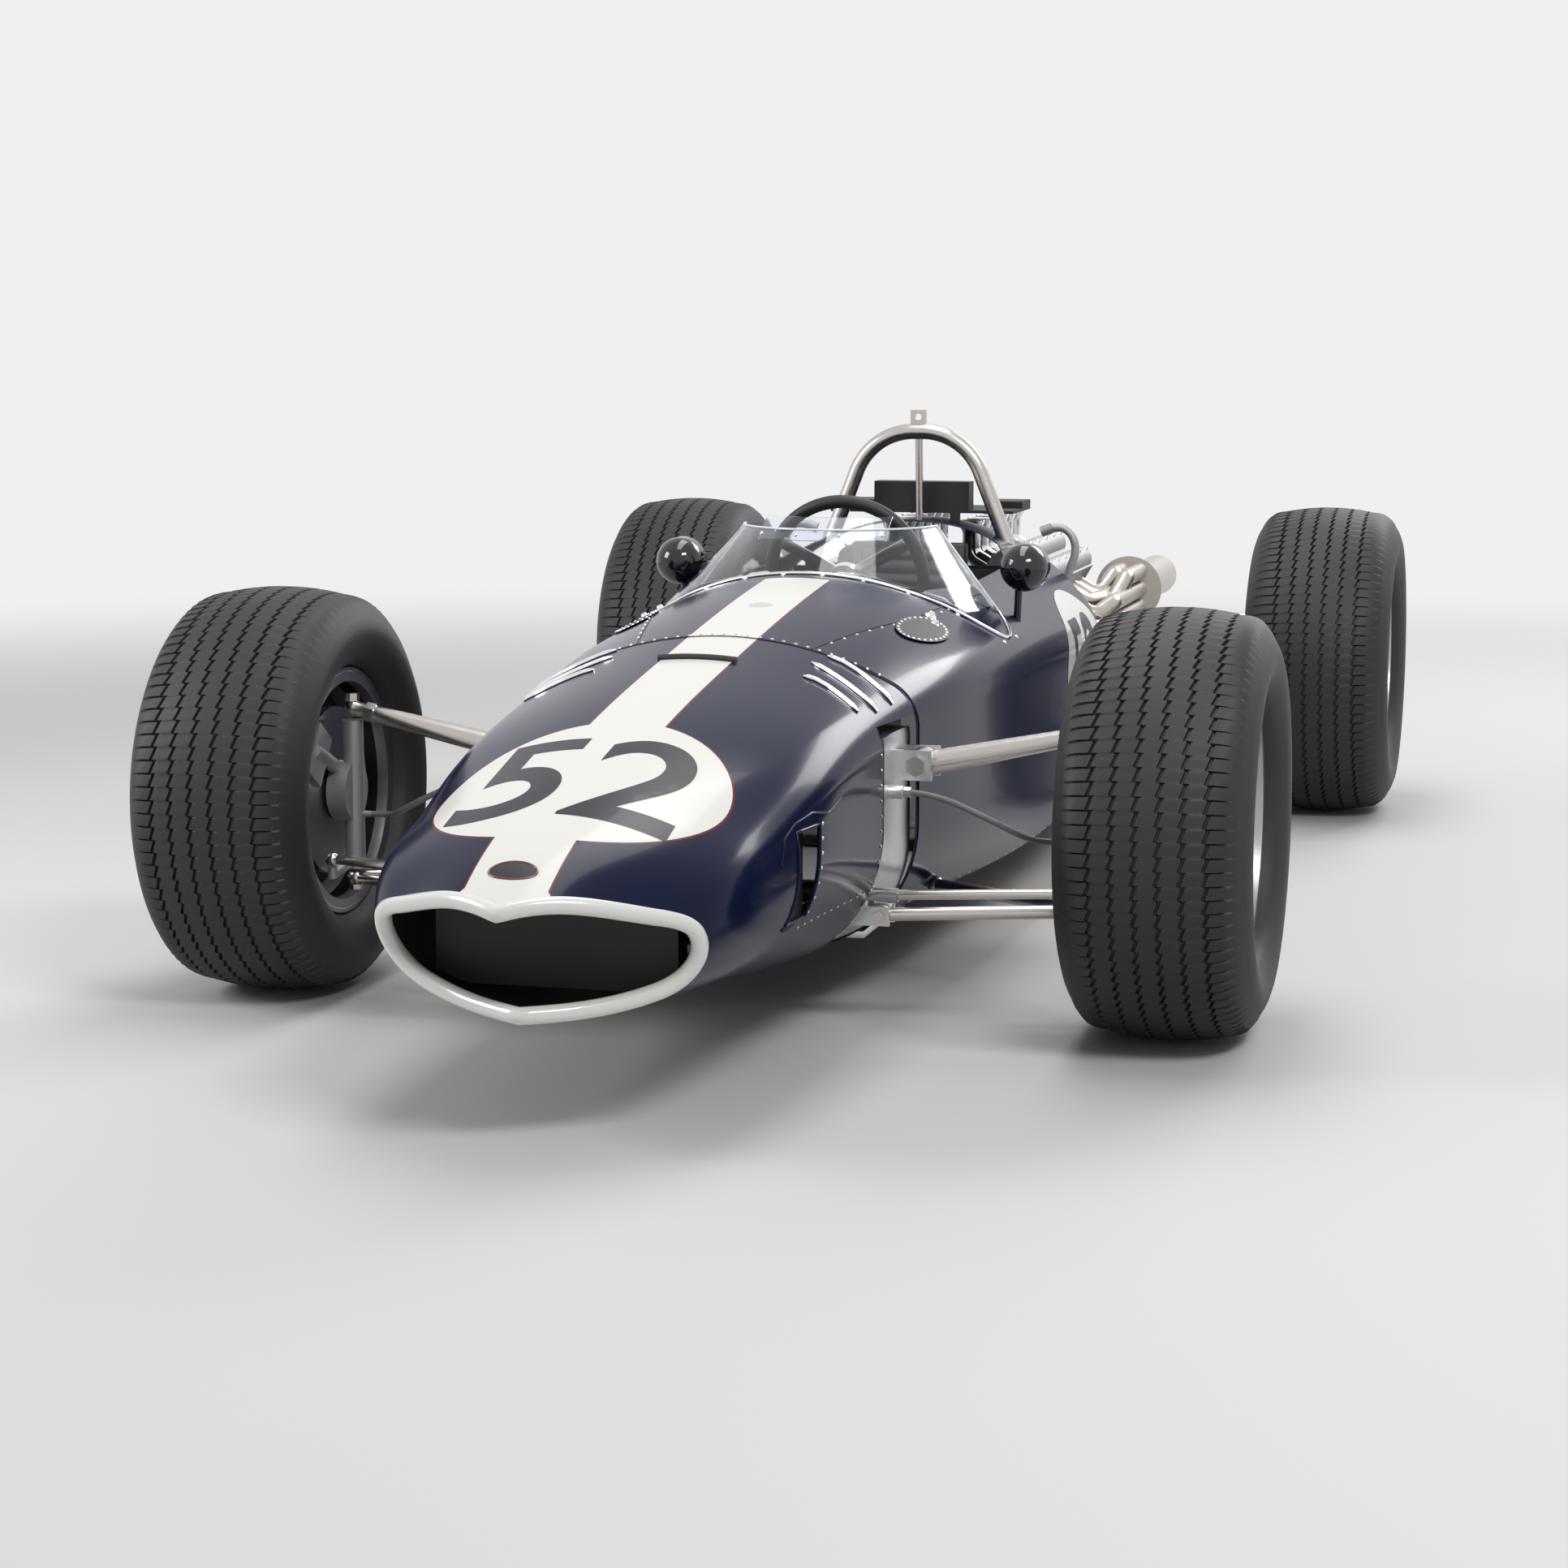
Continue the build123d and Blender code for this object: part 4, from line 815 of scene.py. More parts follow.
class CAR_OT_graphics(bpy.types.Operator):
    """Lays the race number and the flank roundels on the skin"""

    bl_idname = "car.graphics"
    bl_label = "Race number"

    def execute(self, context):
        number = context.scene.car_sizes.number
        bm = self.figures(number, 0.165, 0.290)
        for vert in bm.verts:
            vert.co = top_point(vert.co.x / MM, ROUNDEL[0] + vert.co.y / MM, 0.5)
        link("nose_number", bm, "figures", angle=60.0)
        half_length, half_height = FLANK_ROUNDEL[2:]
        for side, name in ((1, "left"), (-1, "right")):
            bm = bmesh.new()
            bmesh.ops.create_circle(bm, cap_ends=True, segments=96, radius=1.0)
            bmesh.ops.scale(bm, vec=(half_length * MM, half_height * MM, 1.0), verts=bm.verts)
            self.crosscut(bm)
            self.place_on_flank(bm, side, 0.4)
            link("flank_roundel_" + name, bm, "white", angle=60.0)
            bm = self.figures(number, 0.13, 0.20)
            self.place_on_flank(bm, side, 0.8)
            link("flank_number_" + name, bm, "figures", angle=60.0)
        return {"FINISHED"}

    def place_on_flank(self, bm, side, lift):
        station, height = FLANK_ROUNDEL[:2]
        for vert in bm.verts:
            vert.co = side_point(side, station + side * vert.co.x / MM, height + vert.co.y / MM, lift)

    def figures(self, text, width, height):
        """The race number as a flat mesh, centred, with each digit this wide and high."""
        curve = bpy.data.curves.new("Number", "FONT")
        curve.body = text
        curve.offset = 0.012
        holder = add("Number", curve)
        mesh = bpy.data.meshes.new_from_object(holder.evaluated_get(bpy.context.evaluated_depsgraph_get()))
        bpy.data.objects.remove(holder)
        bm = bmesh.new()
        bm.from_mesh(mesh)
        bpy.data.meshes.remove(mesh)
        xs, ys = [v.co.x for v in bm.verts], [v.co.y for v in bm.verts]
        middle = Vector(((min(xs) + max(xs)) / 2, (min(ys) + max(ys)) / 2, 0.0))
        bmesh.ops.translate(bm, vec=-middle, verts=bm.verts)
        bmesh.ops.scale(bm, vec=(2 * width / (max(xs) - min(xs)), height / (max(ys) - min(ys)), 1.0), verts=bm.verts)
        self.crosscut(bm)
        return bm

    def crosscut(self, bm, step=0.012):
        """Cuts a flat mesh into small cells so that it can follow the skin."""
        for axis in (0, 1):
            values = [v.co[axis] for v in bm.verts]
            place = min(values) + step
            while place < max(values):
                point, normal = Vector((0, 0, 0)), Vector((0, 0, 0))
                point[axis], normal[axis] = place, 1.0
                bmesh.ops.bisect_plane(bm, geom=bm.verts[:] + bm.edges[:] + bm.faces[:], plane_co=point,
                                       plane_no=normal, dist=1e-6)
                place += step


class CAR_OT_nodes(bpy.types.Operator):
    """Finishes the CAD pieces that are shown as they are"""

    bl_idname = "car.nodes"
    bl_label = "Finishes"

    def execute(self, context):
        finishes = {
            "radiator": "core", "front_frame": "sheet", "front_rockers": "nickel", "front_lower_arms": "nickel",
            "steering_rack": "steel", "track_rods": "nickel", "steering_wheel": "leather", "dash_panel": "black",
            "seat": "leather", "mirrors": "gloss", "roll_hoop": "nickel", "ignition_tray": "black",
            "engine_block": "cast", "cylinder_heads": "cast", "intake_trumpets": "bright", "gearbox": "cast",
            "driveshafts": "steel", "rear_top_links": "nickel", "rear_lower_arms": "nickel",
            "radius_rods": "nickel", "spring_units": "steel", "windscreen": "screen", "screen_visor": "screen",
        }
        for end in ("front", "rear"):
            for side in ("left", "right"):
                finishes.update({f"{end}_upright_{side}": "cast", f"{end}_disc_{side}": "steel",
                                 f"{end}_rim_{side}": "rim", f"{end}_tyre_{side}": "rubber"})
        for side in ("left", "right"):
            finishes.update({f"exhaust_{side}": "pipe", f"brake_hose_{side}": "hose"})
        for node, finish in finishes.items():
            dress(node, finish)
        return {"FINISHED"}


def circle_through(a, b, c):
    """Centre and radius of the circle through three (along, radius) points."""
    ax, ay, bx, by, cx, cy = *a, *b, *c
    d = 2.0 * (ax * (by - cy) + bx * (cy - ay) + cx * (ay - by))
    aa, bb, cc = ax * ax + ay * ay, bx * bx + by * by, cx * cx + cy * cy
    ux = (aa * (by - cy) + bb * (cy - ay) + cc * (ay - by)) / d
    uy = (aa * (cx - bx) + bb * (ax - cx) + cc * (bx - ax)) / d
    return ux, uy, math.hypot(ax - ux, ay - uy)


class CAR_OT_tyres(bpy.types.Operator):
    """Builds the four tyres, with zigzag grooves, notched shoulders and ringed sidewalls"""

    bl_idname = "car.tyres"
    bl_label = "Tyres"

    grooves = (-87.5, -52.5, -17.5, 17.5, 52.5, 87.5)
    blocks = (102.0, 110.0, 117.0)  # columns of the shoulder blocks
    shoulder_drop = 11.0  # how much lower the tread's edge lies than its middle
    bead_radius, seat_radius = 208.0, 197.6
    raised_rings, ring_rise = (3, 4, 11), 0.9  # steps of the sidewall that stand out, and how far
    wall_steps = 15
    pitches = 96
    # Steps of one pitch of the tread. Columns: place along the pitch, sideways shift in millimetres
    steps = ((0.0, 0.2), (0.07, -3.4), (0.36, -1.1), (0.66, 1.2), (0.93, 3.4))

    def execute(self, context):
        depth = context.scene.car_sizes.tread_depth / MM
        for end, rim_half in (("front", 113.0), ("rear", 131.0)):
            for side in ("left", "right"):
                node = f"{end}_tyre_{side}"
                low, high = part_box(node)
                centre = node_centre(node)
                half, radius = (high[0] - low[0]) / 2 / MM - 0.6, (high[1] - low[1]) / 2 / MM
                bm = bmesh.new()
                count = len(self.steps) * self.pitches
                spin_section(bm, self.section(half, radius, rim_half, depth), centre, count)
                self.cut_tread(bm, centre, count, half, radius, depth)
                bmesh.ops.recalc_face_normals(bm, faces=bm.faces)
                tyre = link(node + "_rubber", bm, "rubber", body=f"wheel_{end}_{side}", angle=28.0)
                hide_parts(node)
                self.rim_lips(f"{end}_rim_lips_{side}", centre, rim_half, f"wheel_{end}_{side}")
        return {"FINISHED"}

    def rim_lips(self, name, centre, rim_half, body):
        """The rolled edges of the rim, one at each side of the tyre."""
        radius = 3.4
        bm = bmesh.new()
        for side in (-1, 1):
            ring = [(side * (rim_half - 3.2) + radius * math.cos(a), 199.0 + radius * math.sin(a)) for a in turns(12)]
            spin_section(bm, ring, centre, 120)
        bmesh.ops.recalc_face_normals(bm, faces=bm.faces)
        link(name, bm, "bright", body=body, angle=60.0)

    def section(self, half, radius, rim_half, depth):
        """The tyre's closed section as (along, radius) pairs, with its grooves."""
        foot, bead = (rim_half - 6.3, self.bead_radius), rim_half - 9.3
        bulge = (half, (foot[1] + radius) / 2 - 4.0)
        tread_half, shoulder = half * 0.62, (half * 0.93, radius - 44.0)
        turn = (tread_half + 0.64 * (shoulder[0] - tread_half), radius - 20.9)
        cx, cy, reach = circle_through(foot, bulge, shoulder)
        start = math.atan2(foot[1] - cy, foot[0] - cx)
        stop = math.atan2(shoulder[1] - cy, shoulder[0] - cx)
        wall = []
        for i in range(1, self.wall_steps):
            angle = start + (stop - start) * i / self.wall_steps
            far = reach + (self.ring_rise if i in self.raised_rings else 0.0)
            wall.append((cx + far * math.cos(angle), cy + far * math.sin(angle)))
        low = radius - self.shoulder_drop
        crown = circle_through((-tread_half, low), (0.0, radius), (tread_half, low))
        edge = circle_through((tread_half, low), turn, shoulder)

        def outer(a):
            ux, uy, r = crown if abs(a) <= tread_half else edge
            return uy + math.sqrt(max(r * r - (abs(a) - ux) ** 2, 0.0))

        columns = []
        for groove in self.grooves:
            columns += [(groove + a, drop) for a, drop in
                        ((-3.0, 0.0), (-2.0, depth), (2.0, depth), (3.0, 0.0), (10.0, 0.0))]
        edges = (*self.blocks, shoulder[0] * 0.91, shoulder[0] * 0.96, shoulder[0])
        columns += [(side * a, 0.0) for side in (-1, 1) for a in edges]
        tread = [(a, outer(a) - drop) for a, drop in sorted(columns)]
        one_side = [(bead - 26.0, self.seat_radius), (bead, self.seat_radius), foot] + wall
        inner = [(a, radius - 30.0 - a * a / 420.0) for a in (-70.0, -35.0, 0.0, 35.0, 70.0)]
        return one_side + tread[::-1] + [(-a, r) for a, r in reversed(one_side)] + inner

    def cut_tread(self, bm, centre, count, half, radius, depth):
        """Shifts the tread sideways step by step and sinks the notches."""
        size = len(self.steps)
        for vert in bm.verts:
            off = vert.co - centre
            a, r = off.x / MM, math.hypot(off.y, off.z) / MM
            if r < radius - 36.0:
                continue
            index = round(math.atan2(off.y, off.z) / math.tau * count) % count
            place, shift = self.steps[index % size]
            fade = max(0.0, min(1.0, (half * 0.86 - abs(a)) / 12.0))
            if index % size == 0 and self.notched(a):
                r -= 0.75 * depth
            angle = (index // size + place) / self.pitches * math.tau
            vert.co = centre + Vector(((a + shift * fade) * MM, math.sin(angle) * r * MM, math.cos(angle) * r * MM))

    def notched(self, a):
        """Whether a place across the tread is on a shoulder block or just beside a groove."""
        return 90.0 < abs(a) < 113.0 or any(2.5 < a - groove < 6.0 for groove in self.grooves)


def along(points, steps, place):
    """Even steps between pairs of values, each put in its place by a function of both."""
    track = []
    for (a0, b0), (a1, b1) in zip(points, points[1:]):
        track += [place(a0 + (a1 - a0) * k / steps, b0 + (b1 - b0) * k / steps) for k in range(steps)]
    return track + [place(*points[-1])]


def top_track(points, lift, steps=5):
    """A smooth track over the hull's top through (x, station) points, in the row frame."""
    return along(points, steps, lambda x, s: top_point(x, s, lift))


def flank_track(side, points, lift, steps=5):
    """The same over a flank, through (station, height) points."""
    return along(points, steps, lambda s, z: side_point(side, s, z, lift))


def top_spot(x, station):
    """A point of the hull's top and the way out of it."""
    point = top_point(x, station)
    return point, top_point(x, station, 2.0) - point


def side_spot(side, station, z):
    """The same on a flank."""
    point = side_point(side, station, z)
    return point, side_point(side, station, z, 2.0) - point


class CAR_OT_trim(bpy.types.Operator):
    """Adds the louvres, panel joints, rivets, duct rims, filler cap, fasteners and side plates"""

    bl_idname = "car.trim"
    bl_label = "Body trim"

    # Louvres on the +X side. Each row is a track of (x, station) points
    louvres = (
        ((173, -95), (193, -93), (218, -104), (248, -124), (274, -146)),
        ((167, -16), (198, -32), (233, -53), (264, -74), (292, -92)),
        ((178, 42), (206, 38), (239, 22), (276, -4), (300, -20)),
    )
    # The three beads of a louvre. Columns: name, shift to the rear, lift off the skin, radius, finish
    beads = (
        ("hoods", 0.0, 2.0, 4.6, "bright"),
        ("lips", 9.0, -1.6, 4.4, "sheet"),
        ("gaps", 15.5, -1.9, 3.4, "black"),
    )
    # The scuttle's joint on the +X side, of (x, station) points, and the line over a duct, of (station, height)
    joint = ((148, 56), (191, 253), (232, 430), (262, 900))
    arch = ((-640, 355), (-610, 388), (-560, 404), (-497, 411), (-430, 402), (-391, 410), (-369, 415))

    def execute(self, context):
        for build in (self.louvre_rows, self.joints, self.rivets, self.ducts, self.cap, self.knobs, self.plates):
            build()
        return {"FINISHED"}

    def louvre_rows(self):
        """The louvres' beads, thinner at both ends."""
        for name, shift, lift, radius, finish in self.beads:
            bm = bmesh.new()
            for side in (-1, 1):
                for row in self.louvres:
                    track = top_track([(side * x, s + shift) for x, s in row], lift)
                    last = len(track) - 1
                    shares = [min(1.0, i / 2.0, (last - i) / 2.0) for i in range(last + 1)]
                    sweep(bm, track, [radius * (0.35 + 0.65 * share) for share in shares], segments=10)
            link("louvre_" + name, bm, finish, angle=60.0)

    def joints(self):
        """Thin joints where panels meet, and the raised line over each duct."""
        bm, lines = bmesh.new(), bmesh.new()
        for side in (-1, 1):
            sweep(bm, top_track([(side * x, s) for x, s in self.joint], 0.1, 10), 1.3, segments=6)
            sweep(lines, flank_track(side, self.arch, 0.4), 1.9, segments=8)
        sweep(bm, top_track([(x, COWL_REAR + 0.2) for x in range(-300, 301, 30)], -0.2), 1.5, segments=6)
        link("panel_joints", bm, "black", angle=60.0)
        link("duct_line", lines, "paint", angle=60.0)

    def rivets(self):
        """Rows of rivet heads on the cowl's rear edge, the flanks, the sills and the scuttle."""
        places = [top_spot(x, 62.0) for x in range(-260, 261, 20)]
        for side in (-1, 1):
            places += [side_spot(side, -136.0, z) for z in range(160, 470, 24)]
            places += [side_spot(side, -460.0, z) for z in range(258, 392, 22)]
            places += [side_spot(side, s, 236.0) for s in range(-470, -140, 30)]
            places += [side_spot(side, s, 150.0) for s in range(80, 1540, 52)]
            for s in range(120, 880, 46):
                x = 155.0 + (s - 75) * 0.23 if s < 430 else 242.0 + (s - 430) * 0.063
                places.append(top_spot(side * x, s))
        bm = bmesh.new()
        domes(bm, places, *RIVET)
        link("rivets", bm, "nickel", angle=40.0)

    def ducts(self):
        """A rim round each duct, and black plates and a strip of painted shade behind the ducts, along the slot and
        under it.
        """
        front, rear, low, high = DUCT
        ring = ((front, low), (rear, low), (rear, high), (front, high), (front, low))
        bm, plates = bmesh.new(), bmesh.new()
        for side in (-1, 1):
            sweep(bm, flank_track(side, ring, 0.3)[:-1], 2.6, segments=10, closed=True)
            # painted shade: a black plate inside each duct stands in for the shade there
            slab(plates, (side * 262.0, side * 268.0), (front - 6.0, rear + 12.0), (low - 8.0, high + 8.0), 1.0)
        link("duct_rims", bm, "paint", angle=60.0)
        # painted shade: a black strip along the slot and a black plate under it stand in for the slot's dark inside
        sweep(plates, top_track([(x, SLOT_STATION) for x in range(-64, 65, 16)], 0.5), 7.0, segments=10)
        under, wide = hull_xz(0.0, SLOT_STATION)[1] - 22.0, SLOT_HALF + 10.0
        slab(plates, (-wide, wide), (SLOT_STATION - 16.0, SLOT_STATION + 16.0), (under, under + 6.0), 1.0)
        link("duct_shadows", plates, "black")

    def cap(self):
        """The oval filler cap with its thin rim, ahead of the roundel."""
        station, half_width, half_length = CAP
        bm = bmesh.new()
        ring = [top_point(half_width * math.cos(a), station + half_length * math.sin(a), 0.2) for a in turns(40)]
        sweep(bm, ring, 1.6, segments=8, closed=True)
        link("cap_rim", bm, "red", angle=60.0)
        bm = bmesh.new()
        for vert in disc(bm, 40):
            dome = 2.2 * (1.0 - vert.co.x ** 2 - vert.co.y ** 2)
            vert.co = top_point(vert.co.x * half_width, station + vert.co.y * half_length, 0.4 + dome)
        link("cap_lid", bm, "black", angle=60.0)

    def knobs(self):
        """Round fasteners on the scuttle's corners, and the plain badge plate ahead of the screen."""
        bm = bmesh.new()
        places = [top_spot(side * x, s) for side in (-1, 1) for x, s in ((246.0, 512.0), (262.0, 470.0))]
        domes(bm, places, 12.0, 4.0)
        domes(bm, places, 8.0, 9.0, 16)
        link("scuttle_knobs", bm, "bright", angle=40.0)
        bm = bmesh.new()
        domes(bm, [top_spot(0.0, 285.0)], 20.0, 1.8, 40)
        link("badge_plate", bm, "bright", angle=40.0)

    def plates(self):
        """The oval plates at the scuttle's sides, with rivets round their edges."""
        def spot(u, v, lift):
            return top_point(side * 256.0 + 36.0 * u + side * 10.0 * v, 400.0 + 96.0 * v, lift)

        bm, rivets = bmesh.new(), bmesh.new()
        for side in (-1, 1):
            for vert in disc(bm, 52):
                vert.co = spot(vert.co.x, vert.co.y, 3.0)
            rim = [(side * 0.86 * math.cos(a), 0.93 * math.sin(a)) for a in turns(26)]
            domes(rivets, [(spot(u, v, 2.6), spot(u, v, 4.6) - spot(u, v, 2.6)) for u, v in rim], 3.4, 1.8)
        link("side_plates", bm, "core", angle=60.0)
        link("plate_rivets", rivets, "bright", angle=40.0)


class CAR_OT_screen(bpy.types.Operator):
    """Adds the screen's polished edges, its base strip and screws, and the mirror glasses"""

    bl_idname = "car.screen"
    bl_label = "Screen trim"

    # The screen is part of a cone: half width, rear and front station at its base's height, how much both shrink
    # for each millimetre of height, its top, and the height of its screws
    base, base_half, rear, front = 600.0, 291.0, 850.0, 468.0
    lean, rake = 0.765, 1.53
    brim, screw_line = 741.5, 732.0
    # Middle of a mirror's glass on the +X side: x and height
    mirror = (334.0, 662.0)

    def cone_point(self, turn, z):
        """A point of the screen's cone at a height and a turn of -1 to 1 from one rear edge to the other."""
        rise = z - self.base
        half = self.base_half - self.lean * rise
        depth = self.rear - self.front - self.rake * rise
        radius = (half ** 2 + depth ** 2) / (2 * depth)
        centre = self.rear - depth + radius
        angle = turn * (math.pi - math.atan2(half, self.rear - centre))
        return radius * math.sin(angle), centre - radius * math.cos(angle)

    def edge_point(self, turn, z):
        return at(*self.cone_point(turn, z), z)

    def foot(self, turn):
        """Where the cone stands on the skin."""
        z = self.base + 20.0
        for _ in range(9):
            x, s = self.cone_point(turn, z)
            z = 0.5 * z + 0.5 * top_point(x, s).z / MM
        return x, s, z

    def execute(self, context):
        shares = [-1.0 + i / 24 for i in range(49)]
        feet = [self.foot(turn) for turn in shares]
        bm = bmesh.new()
        sweep(bm, [self.edge_point(turn, self.brim) for turn in shares], 2.4, segments=10)
        for turn, foot in ((-1.0, feet[0]), (1.0, feet[-1])):
            sweep(bm, [self.edge_point(turn, z) for z in (foot[2], 690.0, self.brim)], 2.6, segments=10)
        link("screen_edges", bm, "edge", angle=60.0)
        bm = bmesh.new()
        sweep(bm, [top_point(x, s, 1.6) for x, s, _ in feet], 3.6, segments=10)
        link("screen_strip", bm, "bright", angle=60.0)
        self.screws(feet)
        self.mirror_glasses()
        return {"FINISHED"}

    def screws(self, feet):
        """Screws just outside the strip, and along the visor's foot."""
        outside, middle = 1.045, 700.0
        places = [top_spot(x * outside, middle + (s - middle) * outside) for x, s, _ in feet[2:-2:4]]
        for turn in (-0.42, -0.14, 0.14, 0.42):
            x, s = self.cone_point(turn, self.screw_line)
            places.append((at(x, s, self.screw_line), Vector((x, s - 870.0, 60.0))))
        bm = bmesh.new()
        domes(bm, places, 4.2, 2.4)
        link("screen_screws", bm, "bright", angle=40.0)

    def mirror_glasses(self):
        """Flat glasses in the rear faces of the mirrors."""
        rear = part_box("mirrors")[1][1]
        bm = bmesh.new()
        for side in (-1, 1):
            middle = Vector((side * self.mirror[0] * MM, rear, self.mirror[1] * MM))
            place = Matrix.Translation(middle - Vector((0, 0.0008, 0))) @ Matrix.Rotation(-math.pi / 2, 4, "X")
            bmesh.ops.create_cone(bm, cap_ends=True, segments=48, radius1=0.0425, radius2=0.0418, depth=0.0016,
                                  matrix=place)
        link("mirror_glasses", bm, "mirror", angle=40.0)


class CAR_OT_cockpit(bpy.types.Operator):
    """Builds the steering wheel, the dials, and the seat with its pads"""

    bl_idname = "car.cockpit"
    bl_label = "Cockpit"

    # Dials: x and height
    dial_places = ((-120.0, 600.0), (0.0, 622.0), (120.0, 600.0))
    # The steering wheel's boss, its cap and the column, along its axis in metres. Columns: start, end, radii, sides
    hub_bars = ((-0.026, -0.006, 30.0, 30.0, 48), (-0.006, -0.001, 22.0, 18.0, 48), (-0.818, -0.02, 10.0, 10.0, 24))
    # Pads. Columns: name, three (station, height) points of the middle line, half width, thickness, channels
    pads = (
        ("seat_base", ((880.0, 160.0), (1010.0, 168.0), (1150.0, 182.0)), 168.0, 22.0, 5),
        ("seat_back", ((1178.0, 200.0), (1290.0, 350.0), (1408.0, 515.0)), 164.0, 20.0, 7),
        ("seat_head", ((1410.0, 575.0), (1422.0, 615.0), (1432.0, 656.0)), 100.0, 18.0, 3),
    )

    def execute(self, context):
        self.steering_wheel()
        self.dials()
        self.seat_shell()
        for pad in self.pads:
            self.seat_pad(*pad)
        return {"FINISHED"}

    def steering_wheel(self):
        """A leather rim, and three spokes with the boss, its bolts and the column."""
        turn = Matrix.Translation(at(*STEERING_CENTRE)) @ Matrix.Rotation(STEERING_TILT - math.pi / 2, 4, "X")
        bm = bmesh.new()
        sweep(bm, [Vector((0.147 * math.cos(a), 0.147 * math.sin(a), 0.0)) for a in turns(72)], 12.5, segments=20,
              closed=True)
        bmesh.ops.transform(bm, matrix=turn, verts=bm.verts)
        rim = link("wheel_grip", bm, "leather", body="steering_wheel", angle=60.0)
        bm = bmesh.new()
        for angle in turns(3):
            old = set(bm.verts)
            box(bm, (0.02, -0.012, -0.0125), (0.138, 0.012, -0.0085), 1.2)
            spoke = [v for v in bm.verts if v not in old]
            bmesh.ops.rotate(bm, cent=(0, 0, 0), matrix=Matrix.Rotation(math.pi / 2 + angle, 3, "Z"), verts=spoke)
        for start, end, radius, end_radius, sides in self.hub_bars:
            bar(bm, (0, 0, start), (0, 0, end), radius, end_radius, sides)
        for a in turns(6):
            spot = Vector((0.0235 * math.cos(a), 0.0235 * math.sin(a), -0.006))
            bar(bm, spot, spot + Vector((0, 0, 0.003)), 3.0, segments=6)
        bmesh.ops.transform(bm, matrix=turn, verts=bm.verts)
        link("wheel_spokes", bm, "nickel", body="steering_wheel", angle=35.0)
        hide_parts("steering_wheel")

    def dials(self):
        """Plain dials with tick marks and a pointer, set in the dash."""
        faces, marks, rims = bmesh.new(), bmesh.new(), bmesh.new()
        for x, z in self.dial_places:
            middle = at(x, 569.2, z)
            bar(faces, middle, middle + Vector((0, 0.0008, 0)), 32.0, segments=48)
            raised = middle + Vector((0, 0.001, 0))
            ring = [raised + Vector((math.cos(a), 0.0, math.sin(a))) * 0.033 for a in turns(48)]
            sweep(rims, ring, 1.8, segments=8, closed=True)
            for number in range(11):
                angle = math.radians(-135.0 + 27.0 * number)
                out = Vector((math.sin(angle), 0.0, math.cos(angle)))
                bar(marks, raised + out * 0.023, raised + out * 0.029, 0.7, segments=6)
            pivot = middle + Vector((0, 0.0016, 0))
            bar(marks, pivot, pivot + Vector((-0.7, 0.0, -0.7)) * 0.028, 1.2, 0.4, 6)
        link("dial_faces", faces, "black")
        link("dial_marks", marks, "white")
        link("dial_rims", rims, "bright", angle=60.0)

    def seat_shell(self):
        """The seat's moulded shell with its rounded edges and side wings, and the head rest."""
        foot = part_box("seat")[0][2] / MM
        forms = (  # name, side view of (station, height) points, half width
            ("seat_shell", ((860.0, foot), (1200.0, foot), (1455.0, 520.0), (1420.0, 540.0), (1165.0, 172.0),
                            (860.0, 152.0)), 196.0),
            ("head_rest_shell", ((1300.0, 300.0), (1464.0, 540.0), (1464.0, 668.0), (1428.0, 668.0),
                                 (1404.0, 560.0)), 118.0),
        )
        for name, line, half in forms:
            bm = bmesh.new()
            verts = [bm.verts.new(at(-half, s, z)) for s, z in line]
            side = bmesh.ops.contextual_create(bm, geom=verts)["faces"]
            made = bmesh.ops.extrude_face_region(bm, geom=side)
            moved = [g for g in made["geom"] if isinstance(g, bmesh.types.BMVert)]
            bmesh.ops.translate(bm, vec=(2 * half * MM, 0, 0), verts=moved)
            bmesh.ops.bevel(bm, geom=bm.edges[:], offset=6.0 * MM, segments=3, profile=0.5, affect="EDGES", material=-1)
            if name == "seat_shell":
                for wing in (-1, 1):
                    slab(bm, (wing * 176.0, wing * half), (1120.0, 1420.0), (foot, 470.0), 7.0)
            bmesh.ops.recalc_face_normals(bm, faces=bm.faces)
            shell = link(name, bm, "leather", angle=40.0)
            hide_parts("seat")

    def seat_pad(self, name, line, half, thick, channels):
        """One quilted pad on the shell."""
        line = [Vector(point) for point in line]
        rise = (line[2] - line[0]).normalized()
        out = Vector((0.0, -rise.y, rise.x))
        bm = bmesh.new()
        made = bmesh.ops.create_grid(bm, x_segments=56, y_segments=56, size=1.0)
        for vert in made["verts"]:
            u, v = vert.co.x, (vert.co.y + 1.0) / 2.0
            station, height = bend(*line, v)
            edge = max(0.0, 1.0 - u ** 6) * max(0.0, 1.0 - (2 * v - 1.0) ** 8)
            ribs = 0.72 + 0.28 * abs(math.sin(math.pi * channels * v))
            lift = thick * ribs * edge ** 0.5
            pull = 1.0 - 0.03 * (1.0 - (2 * v - 1.0) ** 2)
            vert.co = at(u * half * pull, station, height) + out * (lift + 2.0) * MM
        bmesh.ops.recalc_face_normals(bm, faces=bm.faces)
        faces_out(bm, at(0, 1500, 100))
        pad = link(name, bm, "leather", angle=70.0)
        solidify(pad, 6.0)


